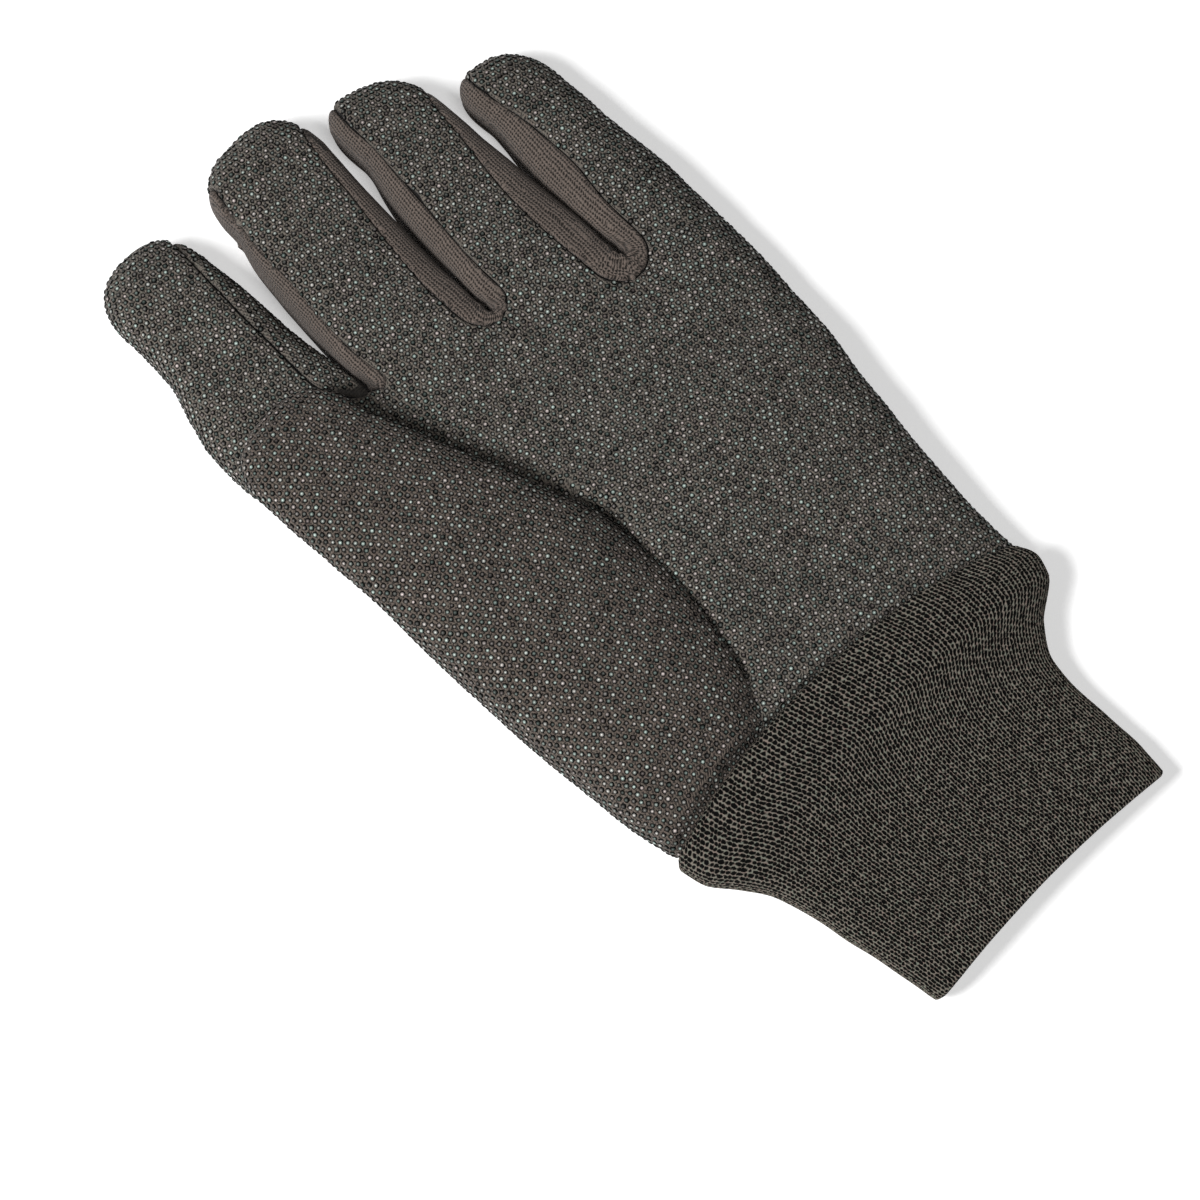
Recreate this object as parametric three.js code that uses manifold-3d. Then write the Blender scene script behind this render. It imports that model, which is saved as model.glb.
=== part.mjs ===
// A cotton jersey work glove with a dotted grip face, for the left hand. It lies palm up on a table,
// its four fingers towards +Y, its knitted cuff towards -Y, and its thumb folded over on the -X side.
// Every cloth piece is a hollow wall. The hand goes in through the cuff and fills palm, fingers and thumb.
// Units are millimetres. The origin is on the table, under the middle of the glove's outline.
import * as THREE from "three";
import { mergeVertices } from "three/addons/utils/BufferGeometryUtils.js";
import Module from "manifold-3d";

const wasm = await Module();
wasm.setup();

// Driving sizes
const JERSEY = 1.5; // wall of the fleece-backed jersey
const RIB_KNIT = 2; // wall of the ribbed cuff
const SEAM_GAP = 0.3; // space left between two pieces that are sewn together
const HEM_DEPTH = 2.5; // how far the hem of palm and thumb lies inside the cuff
const SIDE_SEAM = 5; // height of the seam between the palm side and the back
const TABLE = 0; // height of the table, which flattens the back of the glove

// Reach of the cutting shapes past the glove
const RUN_OUT = 3; // of the cuff's hollow, past its two open ends
const ABOVE_ALL = 60; // higher than the thumb
const OPEN_END = 150; // past every fingertip
const OPEN_SIDE = 100; // past the thumb and the little finger

// How square the cross-sections are: 2 is an ellipse, more is flatter with rounder sides
const FINGER_SHAPE = 2.3;
const PALM_SHAPE = 3;
const THUMB_SHAPE = 2.4;
const CUFF_SHAPE = 2.8;
const TIP_SHAPE = 2.4; // the outline of a fingertip, seen from above

// Points round each cross-section, and cross-sections in a rounded fingertip
const FINGER_SIDES = 20;
const PALM_SIDES = 40;
const THUMB_SIDES = 24;
const CUFF_SIDES = 46;
const TIP_STEPS = 4;

// In the tables below a row is one cross-section. Its middle lies at y, and left, right, bottom and top are
// its edges. Its left end lies further towards the fingers than its right end by slant. Its middle is bowed
// towards the fingers by bow, and its upper edge lies nearer the wrist than its lower edge by lean.

// Cross-sections of each finger, from deep in the palm to the centre of its round tip
const FINGERS = {
  index: {
    tip: 14.5,
    rows: [
      { y: 24, left: -56, right: -28, bottom: 1, top: 13, slant: 0 },
      { y: 46, left: -59, right: -25, bottom: -1, top: 16.5, slant: 0 },
      { y: 67, left: -59.2, right: -24.6, bottom: -1.2, top: 16.6, slant: 0 },
      { y: 84, left: -58.2, right: -24.4, bottom: -1.2, top: 16.8, slant: 0 },
      { y: 95, left: -54.2, right: -23.6, bottom: -1.2, top: 17.6, slant: 0 },
      { y: 105, left: -52.2, right: -23, bottom: -1.2, top: 17.8, slant: 0 },
      { y: 117.3, left: -51.6, right: -23.4, bottom: -1, top: 16.8, slant: 0 },
    ],
  },
  middle: {
    tip: 15,
    rows: [
      { y: 20, left: -21, right: 5, bottom: 1, top: 14, slant: 0 },
      { y: 44, left: -24, right: 8, bottom: -1, top: 18, slant: 0 },
      { y: 60, left: -23.9, right: 8.5, bottom: -1.2, top: 18.6, slant: 0 },
      { y: 74, left: -23.7, right: 10.3, bottom: -1.2, top: 18.6, slant: 0 },
      { y: 88, left: -21, right: 12, bottom: -1.2, top: 18.8, slant: 0 },
      { y: 101, left: -19, right: 13.6, bottom: -1.2, top: 18.8, slant: 0 },
      { y: 118.3, left: -13.9, right: 16.8, bottom: -1, top: 17.4, slant: 0 },
    ],
  },
  ring: {
    tip: 12,
    rows: [
      { y: 8, left: 13, right: 37, bottom: 1, top: 14, slant: 0 },
      { y: 32, left: 10, right: 40, bottom: -1, top: 17.6, slant: 0 },
      { y: 46, left: 9.4, right: 40.6, bottom: -1.2, top: 18.2, slant: 0 },
      { y: 60, left: 9.4, right: 41.3, bottom: -1.2, top: 18.2, slant: 0 },
      { y: 74, left: 11.1, right: 42, bottom: -1.2, top: 18.2, slant: 0 },
      { y: 90, left: 13.3, right: 43.2, bottom: -1.2, top: 18, slant: 0 },
      { y: 107.5, left: 17.4, right: 43.2, bottom: -1, top: 16.4, slant: 8 },
    ],
  },
  little: {
    tip: 9.6,
    rows: [
      { y: 0, left: 44, right: 57, bottom: 2, top: 12, slant: 0 },
      { y: 26, left: 41.5, right: 63, bottom: -1, top: 16, slant: 0 },
      { y: 44, left: 41.4, right: 64, bottom: -1.2, top: 16.8, slant: 0 },
      { y: 60, left: 42.1, right: 65.4, bottom: -1.2, top: 16.8, slant: 0 },
      { y: 74, left: 42.8, right: 66.2, bottom: -1.2, top: 16.4, slant: 0 },
      { y: 92.6, left: 44.2, right: 66.7, bottom: -1, top: 15, slant: 5 },
    ],
  },
};

// Cross-sections of the palm, from inside the cuff to the feet of the fingers
const PALM_ROWS = [
  { y: -80, left: -59, right: 43.5, bottom: -1, top: 16, slant: 0, bow: 0 },
  { y: -67, left: -60.5, right: 45.2, bottom: -1, top: 17.2, slant: 0, bow: 0 },
  { y: -58, left: -61, right: 48, bottom: -1, top: 18, slant: 0, bow: 0 },
  { y: -45, left: -61, right: 50, bottom: -1, top: 19.2, slant: 0, bow: 0 },
  { y: -20, left: -60, right: 55, bottom: -1, top: 20.5, slant: 0, bow: 0 },
  { y: -1, left: -60, right: 58.6, bottom: -1, top: 20, slant: 6, bow: 2 },
  { y: 17, left: -60, right: 61.2, bottom: -1, top: 18, slant: 14, bow: 4 },
  { y: 35, left: -59.5, right: 62.8, bottom: -1, top: 17.4, slant: 26, bow: 6 },
  { y: 52.5, left: -59, right: 64, bottom: -1, top: 17.2, slant: 37, bow: 8.5 },
];

// Cross-sections of the thumb: its root swells out of the palm, and its end lies over the index finger
const THUMB = {
  tip: 15.5,
  rows: [
    { y: -82, left: -61, right: -29, bottom: 2.4, top: 15 },
    { y: -65, left: -63, right: -26, bottom: 2.4, top: 17.8 },
    { y: -45, left: -66, right: -18.8, bottom: 2.3, top: 24 },
    { y: -20, left: -66, right: -13.2, bottom: 2.3, top: 27 },
    { y: 0, left: -66, right: -13.6, bottom: 4, top: 29 },
    { y: 14, left: -66, right: -18, bottom: 10.5, top: 30.2 },
    { y: 28, left: -66, right: -22.6, bottom: 17.8, top: 31.4 },
    { y: 45, left: -66, right: -27.6, bottom: 17.9, top: 32 },
    { y: 61, left: -65.6, right: -33, bottom: 17.9, top: 31.4 },
  ],
};

// Cross-sections of the cuff, from its open end to its seam, where it puffs out over the hem
const CUFF_ROWS = [
  { y: -134, left: -49, right: 28, bottom: -1, top: 14, slant: 0, bow: 0, lean: 3 },
  { y: -122, left: -49.6, right: 29, bottom: -1, top: 14, slant: 0, bow: 0, lean: 2 },
  { y: -106, left: -51.3, right: 30.6, bottom: -1, top: 14.6, slant: 0, bow: 1, lean: 0 },
  { y: -96.5, left: -52.6, right: 33, bottom: -1, top: 15.8, slant: 1, bow: 2, lean: 0 },
  { y: -88, left: -54.6, right: 38.6, bottom: -1, top: 17.6, slant: 2, bow: 3, lean: 0 },
  { y: -80.5, left: -59, right: 46.8, bottom: -1, top: 19.8, slant: 3, bow: 4, lean: 0 },
  { y: -73.5, left: -64, right: 49, bottom: -1, top: 21, slant: 4, bow: 5, lean: 0 },
  { y: -67, left: -65.3, right: 47.4, bottom: -1, top: 20.4, slant: 5, bow: 6, lean: 0 },
];

// The seam on the back between the dotted cloth, which wraps round the index side, and the plain back
const BACK_SEAM = [
  { x: -34, y: -90 },
  { x: -32, y: -40 },
  { x: -27, y: 20 },
  { x: -24.15, y: 64 },
  { x: -24.05, y: 76 },
  { x: -22.3, y: 88 },
  { x: -21, y: 101 },
  { x: -18, y: 118 },
  { x: -14, y: 150 },
];

// The side strips between the fingers. Each lists its seam on the finger to its left, going down, its seam
// on the finger to its right, going up, the points round which its cutting shape closes past the fingertips,
// and how deep its round end reaches below the two seams.
const SIDE_STRIPS = {
  fourchette_index_middle: {
    depth: 3,
    leftSeam: [
      { x: -18, y: 120 },
      { x: -21, y: 101 },
      { x: -24.1, y: 76 },
      { x: -24.2, y: 66 },
    ],
    rightSeam: [
      { x: -20.4, y: 66 },
      { x: -20.6, y: 76 },
      { x: -18.2, y: 88 },
      { x: -16.4, y: 101 },
      { x: -13.2, y: 112 },
      { x: -14.4, y: 121 },
    ],
    past: [{ x: -16, y: 126 }],
  },
  fourchette_middle_ring: {
    depth: 6.5,
    leftSeam: [
      { x: 16.4, y: 125.5 },
      { x: 14.5, y: 120 },
      { x: 10, y: 105 },
      { x: 6.8, y: 91 },
      { x: 3.8, y: 80 },
      { x: 2.2, y: 70 },
      { x: 2, y: 61 },
    ],
    rightSeam: [
      { x: 14.6, y: 61 },
      { x: 14.8, y: 70 },
      { x: 16.4, y: 81 },
      { x: 19, y: 93 },
      { x: 20, y: 103 },
      { x: 19.4, y: 111 },
      { x: 17.6, y: 115 },
    ],
    past: [
      { x: 18, y: 118 },
      { x: 21, y: 123 },
      { x: 20, y: 128 },
    ],
  },
  fourchette_ring_little: {
    depth: 8,
    leftSeam: [
      { x: 42.5, y: 112.5 },
      { x: 40.2, y: 107 },
      { x: 37.8, y: 95 },
      { x: 35, y: 82 },
      { x: 33, y: 71 },
      { x: 32.2, y: 60 },
      { x: 32, y: 46 },
    ],
    rightSeam: [
      { x: 47.2, y: 46 },
      { x: 47.6, y: 58 },
      { x: 49, y: 68 },
      { x: 50, y: 77 },
      { x: 50, y: 86 },
      { x: 47.6, y: 94 },
      { x: 44.2, y: 98.5 },
    ],
    past: [
      { x: 44.4, y: 101 },
      { x: 47, y: 106 },
      { x: 46, y: 114 },
    ],
  },
};
// Materials
const cloth = (name, color, roughness) =>
  new THREE.MeshStandardMaterial({ name, color, roughness, metalness: 0 });
const dottedJersey = cloth("dotted_jersey", 0x48443f, 0.75);
const plainJersey = cloth("plain_jersey", 0x59504b, 0.9);
const ribKnit = cloth("rib_knit", 0x3b3935, 0.92);

// A smooth line through the points of a seam
const smoothLine = (points) =>
  new THREE.SplineCurve(points.map(({ x, y }) => new THREE.Vector2(x, y))).getPoints(
    2 * (points.length - 1),
  );

// A row drawn in by the thickness of the cloth
const inset = (row, wall) => ({
  ...row,
  left: row.left + wall,
  right: row.right - wall,
  bottom: row.bottom + wall,
  top: row.top - wall,
});

// Rows that close a finger in a round tip, which reaches length past its last row
function tipRows(last, length, shape) {
  const middle = (last.left + last.right) / 2;
  const height = (last.bottom + last.top) / 2;
  return Array.from({ length: TIP_STEPS }, (_, i) => {
    const angle = ((i + 1) / (TIP_STEPS + 0.35)) * (Math.PI / 2);
    const across = Math.cos(angle) ** (2 / TIP_SHAPE);
    const along = Math.sin(angle) ** (2 / TIP_SHAPE);
    const upright = (1 - along ** shape) ** (1 / shape);
    return {
      y: last.y + length * along,
      left: middle + (last.left - middle) * across,
      right: middle + (last.right - middle) * across,
      bottom: height + (last.bottom - height) * upright,
      top: height + (last.top - height) * upright,
      slant: (last.slant ?? 0) * across,
    };
  });
}

// The points of one cross-section, flattened where it would sink below floor
function ringOf(row, sides, shape, floor) {
  const middle = (row.left + row.right) / 2;
  const halfWidth = (row.right - row.left) / 2;
  const height = (row.bottom + row.top) / 2;
  const halfHeight = (row.top - row.bottom) / 2;
  const rounded = (value) => Math.sign(value) * Math.abs(value) ** (2 / shape);
  const { slant = 0, bow = 0, lean = 0 } = row;
  return Array.from({ length: sides }, (_, i) => {
    const angle = ((i + 0.5) / sides) * 2 * Math.PI;
    const across = rounded(Math.cos(angle));
    const up = rounded(Math.sin(angle));
    return new THREE.Vector3(
      middle + halfWidth * across,
      row.y - (slant * across) / 2 + bow * (1 - across ** 2) - (lean * up) / 2,
      Math.max(height + halfHeight * up, floor),
    );
  });
}

// A closed mesh through a list of rings, which run towards +Y
function loft(rings) {
  const sides = rings[0].length;
  const positions = [];
  const put = (...points) => points.forEach((p) => positions.push(p.x, p.y, p.z));
  const centreOf = (ring) =>
    ring.reduce((sum, p) => sum.add(p), new THREE.Vector3()).divideScalar(sides);
  for (let i = 0; i < rings.length - 1; i++) {
    for (let j = 0; j < sides; j++) {
      const k = (j + 1) % sides;
      const [a, b, c, d] = [rings[i][j], rings[i][k], rings[i + 1][k], rings[i + 1][j]];
      put(a, d, b, b, d, c);
    }
  }
  const [first, last] = [rings[0], rings[rings.length - 1]];
  const [start, end] = [centreOf(first), centreOf(last)];
  for (let j = 0; j < sides; j++) {
    const k = (j + 1) % sides;
    put(start, first[j], first[k]);
    put(end, last[k], last[j]);
  }
  return new THREE.BufferGeometry().setAttribute(
    "position",
    new THREE.Float32BufferAttribute(positions, 3),
  );
}

// A geometry as a solid that can be joined and cut
function solidOf(geometry) {
  const bare = new THREE.BufferGeometry()
    .setAttribute("position", geometry.getAttribute("position"))
    .setIndex(geometry.index);
  const merged = mergeVertices(bare, 1e-4);
  return new wasm.Manifold(
    new wasm.Mesh({
      numProp: 3,
      vertProperties: merged.attributes.position.array,
      triVerts: new Uint32Array(merged.index.array),
    }),
  );
}

// A named mesh from a solid's largest body, so that no crumb of a cut is left over
function meshOf(name, solid, material) {
  const bodies = solid.decompose().sort((a, b) => b.volume() - a.volume());
  const { vertProperties, triVerts } = bodies[0].getMesh();
  const geometry = new THREE.BufferGeometry()
    .setAttribute("position", new THREE.BufferAttribute(vertProperties, 3))
    .setIndex(new THREE.BufferAttribute(triVerts, 1));
  geometry.computeVertexNormals();
  const mesh = new THREE.Mesh(geometry, material);
  mesh.name = name;
  return mesh;
}

// An upright prism over a plan outline
function prism(points, low = -ABOVE_ALL) {
  const shape = new THREE.Shape(points.map(({ x, y }) => new THREE.Vector2(x, y)));
  const geometry = new THREE.ExtrudeGeometry(shape, { depth: ABOVE_ALL - low, bevelEnabled: false });
  return solidOf(geometry.translate(0, 0, low));
}

// A finger or thumb as one solid, drawn in by wall
function digitSolid({ rows, tip }, wall, sides, shape, floor) {
  const drawn = rows.map((row) => inset(row, wall));
  const closed = [...drawn, ...tipRows(drawn[drawn.length - 1], tip - wall, shape)];
  return solidOf(loft(closed.map((row) => ringOf(row, sides, shape, floor))));
}

// The four fingers and the palm as one solid. Its outside has a wall of 0, its hollow has the cloth's wall,
// and a negative wall gives the space that it needs with the seam gap.
function handSolid(wall) {
  const palmRows = PALM_ROWS.map((row) => inset(row, wall));
  palmRows[palmRows.length - 1].y -= wall;
  const palm = solidOf(loft(palmRows.map((row) => ringOf(row, PALM_SIDES, PALM_SHAPE, TABLE + wall))));
  return Object.values(FINGERS)
    .map((finger) => digitSolid(finger, wall, FINGER_SIDES, FINGER_SHAPE, TABLE + wall))
    .reduce((whole, finger) => whole.add(finger), palm);
}

const thumbSolid = (wall) => digitSolid(THUMB, wall, THUMB_SIDES, THUMB_SHAPE, TABLE);

// The cuff as one solid, drawn in by wall and longer at both ends by extra
function cuffSolid(wall, extra) {
  const rows = CUFF_ROWS.map((row) => inset(row, wall));
  rows[0].y -= extra;
  rows[rows.length - 1].y += extra;
  return solidOf(loft(rows.map((row) => ringOf(row, CUFF_SIDES, CUFF_SHAPE, TABLE + wall))));
}

// Everything on the finger side of the hem, which follows the cuff's edge at a distance
function fingerSide(distance) {
  const { y, left, right, slant, bow } = CUFF_ROWS[CUFF_ROWS.length - 1];
  const steps = 16;
  const hem = Array.from({ length: steps + 1 }, (_, i) => {
    const across = 1.3 * ((2 * i) / steps - 1);
    return {
      x: THREE.MathUtils.lerp(left, right, (across + 1) / 2),
      y: y - (slant * across) / 2 + bow * (1 - across ** 2) - distance,
    };
  });
  return prism([...hem, { x: hem[steps].x, y: OPEN_END }, { x: hem[0].x, y: OPEN_END }]);
}

// Everything above a height
function above(height) {
  const corners = [
    { x: -OPEN_SIDE, y: -OPEN_END },
    { x: OPEN_SIDE, y: -OPEN_END },
    { x: OPEN_SIDE, y: OPEN_END },
    { x: -OPEN_SIDE, y: OPEN_END },
  ];
  return prism(corners, height);
}

// Everything on the index finger's side of the seam on the back, and a strip of width grow beyond it
function indexSide(grow) {
  const seam = smoothLine(BACK_SEAM).map(({ x, y }) => ({ x: x + grow, y }));
  return prism([...seam, { x: -OPEN_SIDE, y: seam[seam.length - 1].y }, { x: -OPEN_SIDE, y: seam[0].y }]);
}

// The cutting shape of a side strip, larger by grow
function stripShape({ leftSeam, rightSeam, past, depth }, grow) {
  const down = smoothLine(leftSeam).map(({ x, y }) => ({ x: x - grow, y }));
  const up = smoothLine(rightSeam).map(({ x, y }) => ({ x: x + grow, y }));
  const [from, to] = [down[down.length - 1], up[0]];
  const middle = (from.x + to.x) / 2;
  const radius = (to.x - from.x) / 2;
  const steps = 8;
  const round = Array.from({ length: steps - 1 }, (_, i) => {
    const angle = ((i + 1) / steps) * Math.PI;
    return {
      x: middle - radius * Math.cos(angle),
      y: from.y - (depth + grow) * Math.sin(angle),
    };
  });
  return prism([...down, ...round, ...up, ...past]);
}

// The cloth of the hand, with a hole for the thumb, ending at the hem
const handHollow = handSolid(JERSEY);
const handCloth = handSolid(0)
  .subtract(handHollow)
  .subtract(thumbSolid(-SEAM_GAP))
  .intersect(fingerSide(HEM_DEPTH));

// Palm: dotted cloth over the palm and three finger fronts, and all round the index finger
const palm = Object.values(SIDE_STRIPS).reduce(
  (cloth, strip) => cloth.subtract(stripShape(strip, SEAM_GAP).intersect(above(SIDE_SEAM))),
  handCloth.intersect(above(SIDE_SEAM + SEAM_GAP).add(indexSide(0))),
);

// Back: plain cloth over the back of the hand and of three fingers
const back = handCloth.subtract(above(SIDE_SEAM)).subtract(indexSide(SEAM_GAP));

// Side strips: plain cloth between two fingers, turning round the foot of their gap
const sideStrip = (strip) =>
  handCloth
    .intersect(stripShape(strip, 0))
    .intersect(above(SIDE_SEAM + SEAM_GAP))
    .subtract(indexSide(SEAM_GAP));

// Thumb: a dotted tube that opens into the palm
const thumb = thumbSolid(0)
  .subtract(thumbSolid(JERSEY))
  .subtract(handHollow)
  .intersect(fingerSide(HEM_DEPTH));

// Cuff: a ribbed tube round the hem of palm and thumb
const hemSpace = handSolid(-SEAM_GAP)
  .add(thumbSolid(-SEAM_GAP))
  .intersect(fingerSide(HEM_DEPTH + SEAM_GAP));
const cuff = cuffSolid(0, 0).subtract(cuffSolid(RIB_KNIT, RUN_OUT)).subtract(hemSpace);

const glove = new THREE.Group();
glove.add(
  meshOf("palm_panel", palm, dottedJersey),
  meshOf("back_panel", back, plainJersey),
  ...Object.entries(SIDE_STRIPS).map(([name, strip]) => meshOf(name, sideStrip(strip), plainJersey)),
  meshOf("thumb_panel", thumb, dottedJersey),
  meshOf("knit_cuff", cuff, ribKnit),
);

// The origin goes to the table, under the middle of the outline
const box = new THREE.Box3().setFromObject(glove);
const middle = box.getCenter(new THREE.Vector3());
glove.position.set(-middle.x, -middle.y, -box.min.z);

export default glove;
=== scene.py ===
# %% [markdown]
# # A dotted jersey work glove
# The real glove is cut from flat pieces of fleece-backed cotton jersey. Its palm side is printed all over
# with small gripping dots of soft plastic. The pieces are sewn inside out and turned, so that each seam is
# a narrow groove between two rounded edges, and a ribbed knit cuff is sewn to the wrist.
# This script makes it in the same order: the form of the hand, the cut pieces, the rolled edges of the
# seams, the thumb, the cuff, the dots, and then the finish of each cloth. It starts with the measured
# frame, which says where everything is.

# %% Load the frame
import math
from collections import namedtuple

import bmesh
import bpy
import numpy as np
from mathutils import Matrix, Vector
from mathutils.kdtree import KDTree


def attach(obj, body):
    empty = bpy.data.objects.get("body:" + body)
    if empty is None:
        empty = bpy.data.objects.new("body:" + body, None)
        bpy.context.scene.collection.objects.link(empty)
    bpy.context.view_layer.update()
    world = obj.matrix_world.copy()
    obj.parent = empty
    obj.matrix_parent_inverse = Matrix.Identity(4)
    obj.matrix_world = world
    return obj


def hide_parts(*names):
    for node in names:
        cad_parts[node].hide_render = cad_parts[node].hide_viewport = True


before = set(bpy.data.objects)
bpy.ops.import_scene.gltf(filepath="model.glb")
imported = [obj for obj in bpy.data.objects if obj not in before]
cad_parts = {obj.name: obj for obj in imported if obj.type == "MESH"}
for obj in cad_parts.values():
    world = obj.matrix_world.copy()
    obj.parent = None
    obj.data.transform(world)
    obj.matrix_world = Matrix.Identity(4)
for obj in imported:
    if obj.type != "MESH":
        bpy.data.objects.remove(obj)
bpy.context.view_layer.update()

MM = 0.001
for name in sorted(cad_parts):
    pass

# %% [markdown]
# ## The measured sections
# A glove that lies flat is a set of soft tubes. Each tube is described by a few cross-sections, and the
# cloth runs smoothly through them. One could sculpt such a form by hand. A table of sections is easier to
# correct, because each number can be compared with the real thing. A row gives the section's place along
# the glove and its four edges, in millimetres. Its left end may lie further towards the fingertips than
# its right end, by slant, and its middle may be bowed towards the fingertips, by bow. Its upper edge may
# lie nearer the wrist than its lower edge, by lean.

# %% Sections of fingers, palm, thumb and cuff
Section = namedtuple("Section", "y left right bottom top slant bow lean", defaults=(0, 0, 0))
Digit = namedtuple("Digit", "tip rows")

FINGERS = {
    "index": Digit(16.9, [
        Section(24, -56, -28, 1, 13),
        Section(46, -61, -25, -1, 16.5),
        Section(67, -61.2, -24.4, -1.2, 16.6),
        Section(84, -59.5, -24.7, -1.2, 16.8),
        Section(95, -56.3, -24.8, -1.2, 17.6),
        Section(105, -52.9, -24.6, -1.2, 17.8),
        Section(117.3, -51.3, -24.6, -1, 16.8),
    ]),
    "middle": Digit(17.2, [
        Section(20, -21, 5, 1, 14),
        Section(44, -24, 8, -1, 18),
        Section(60, -24.3, 8.5, -1.2, 18.6),
        Section(74, -23.9, 9.8, -1.2, 18.6),
        Section(88, -21.7, 12, -1.2, 18.8),
        Section(101, -19.2, 13.8, -1.2, 18.8),
        Section(110, -17.5, 15.4, -1.2, 18.4),
        Section(118.3, -14.5, 16.9, -1, 17.4),
    ]),
    "ring": Digit(15.8, [
        Section(8, 13, 37, 1, 14),
        Section(32, 10, 40, -1, 17.6),
        Section(46, 9.4, 40.6, -1.2, 18.2),
        Section(60, 9.4, 41.3, -1.2, 18.2),
        Section(74, 11.5, 42, -1.2, 18.2),
        Section(90, 14.1, 43, -1.2, 18),
        Section(107.5, 19.2, 43.2, -1, 16.4, slant=7),
    ]),
    "little": Digit(13.5, [
        Section(0, 44, 57, 2, 12),
        Section(26, 41.5, 63.8, -1, 16),
        Section(44, 41.4, 65.9, -1.2, 16.8),
        Section(60, 42.1, 67.4, -1.2, 16.8),
        Section(74, 43.5, 67.6, -1.2, 16.4),
        Section(92.6, 47, 68.2, -1, 15, slant=5),
    ]),
}
PALM = [
    Section(-80, -59, 47.2, -1, 16, slant=8.5, bow=8.2),
    Section(-67, -60.5, 47, -1, 17.2, slant=8.5, bow=8.2),
    Section(-45, -61, 49.4, -1, 19.2, slant=4, bow=4),
    Section(-20, -60, 54.8, -1, 20.5, slant=1, bow=1),
    Section(-1, -60, 59, -1, 20, slant=6, bow=2),
    Section(17, -60, 61.7, -1, 18, slant=14, bow=4),
    Section(35, -60, 64, -1, 17.4, slant=26, bow=6),
    Section(52.5, -60, 65.2, -1, 17.2, slant=37, bow=8.5),
]
THUMB = Digit(15.5, [
    Section(-82, -61, -29, 2.4, 15),
    Section(-65, -63, -26, 2.4, 17.8),
    Section(-45, -66, -18.8, 2.3, 24),
    Section(-20, -66, -13.2, 2.3, 27),
    Section(0, -66, -13.6, 4, 29),
    Section(14, -66, -18, 10.5, 30.2),
    Section(28, -66, -22.6, 17.8, 31.4),
    Section(45, -66, -27.6, 17.9, 32),
    Section(61, -65.6, -33, 17.9, 31.4),
])
CUFF = [
    Section(-130.6, -49, 27.4, -1, 14, slant=2.8, bow=2.8, lean=4.4),
    Section(-121, -49.6, 29.2, -1, 14, slant=1.5, bow=1.5, lean=3),
    Section(-106, -51.3, 29.6, -1, 14.6, bow=1),
    Section(-96.5, -52.6, 31.1, -1, 15.8, slant=1, bow=2),
    Section(-88, -54.6, 36.8, -1, 17.6, slant=2, bow=3),
    Section(-80.5, -59, 46.7, -1, 19.8, slant=3, bow=4),
    Section(-74.5, -64, 48.1, -1, 21, slant=5.5, bow=6.2),
    Section(-68.2, -65.3, 46.4, -1, 20.4, slant=8.5, bow=8.2),
]
FINGER_SHAPE = 2.3  # 2 is an ellipse, more is flatter with rounder sides
INNER_SHAPE = 3.2  # fingers are squarer where they press on each other
PALM_SHAPE = 3
THUMB_SHAPE = 2.4
CUFF_SHAPE = 2.8
TIP_SHAPE = 2.5
LOWEST = 0.05  # how near the table cloth may lie, in mm
FRAME_X, FRAME_Y = 0.779, 1.150  # the tables' zero lies here in the frame


def smooth_rows(rows):
    """Returns a function that gives a table's columns at any y, on smooth curves through its rows."""
    table = np.array(rows, float)
    y, values = table[:, 0], table[:, 1:]
    rise = np.diff(values, axis=0) / np.diff(y)[:, None]
    before, after = rise[:-1], rise[1:]
    same_way = before * after > 0
    between = np.where(same_way, 2 * before * after / np.where(same_way, before + after, 1), 0)
    slopes = np.vstack([rise[:1], between, rise[-1:]])

    def at(where):
        where = np.clip(np.asarray(where, float), y[0], y[-1])
        i = np.clip(np.searchsorted(y, where, side="right") - 1, 0, len(y) - 2)
        step = (y[i + 1] - y[i])[..., None]
        t = (where[..., None] - y[i][..., None]) / step
        found = (
            (1 + 2 * t) * (1 - t) ** 2 * values[i]
            + t * (1 - t) ** 2 * step * slopes[i]
            + t * t * (3 - 2 * t) * values[i + 1]
            + t * t * (t - 1) * step * slopes[i + 1]
        )
        return Section(where, *np.moveaxis(found, -1, 0))

    return at


finger_at = {name: smooth_rows(finger.rows) for name, finger in FINGERS.items()}
palm_at, thumb_at, cuff_at = smooth_rows(PALM), smooth_rows(THUMB.rows), smooth_rows(CUFF)
print("the palm is", round(float(palm_at(0.0).right - palm_at(0.0).left), 1), "mm wide at its middle")

# %% [markdown]
# ## The form of the hand
# The cloth of the hand is one skin: a wide flat tube that divides into four. Two finger tubes that touch
# share one upright line, the crotch between the fingers. Separate tubes joined with a Boolean would leave
# hard creases there, so the skin is laid out as one net of four-sided faces. Each finger has the same
# number of columns round it, and the palm has the columns of all four side by side. Just below a crotch
# the palm's surface rises from half its height in a short round slope, as cloth does at the foot of a slit.

# %% Lay out the net of the hand
FINGER_COLUMNS = 40  # over the upper half of one finger
PALM_COLUMNS = 4 * FINGER_COLUMNS
ROW_STEP = 1.0  # distance between two rows of points, in mm
CROTCH_SLOPE = 8.0  # how far below a crotch the palm has its full height
FINGER_RUN = 30.0  # how far a finger's own form runs on into the palm
HEIGHT_RUN = 12.0  # how far its height does
COLUMN_RUN = 60.0  # how far its columns do
CROTCH_NEAR = 60.0  # roughly where the crotches are along the glove
FOOT_ROW = 58.0  # where the height of a finger's foot is read
GAP_LIFT, GAP_LENGTH = 0.6, 26.0  # how far fingers stay filled above a crotch, and over which length
HEM = 3.5  # how much cloth of the hand lies inside the cuff
TIP_ROWS = 22

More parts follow.
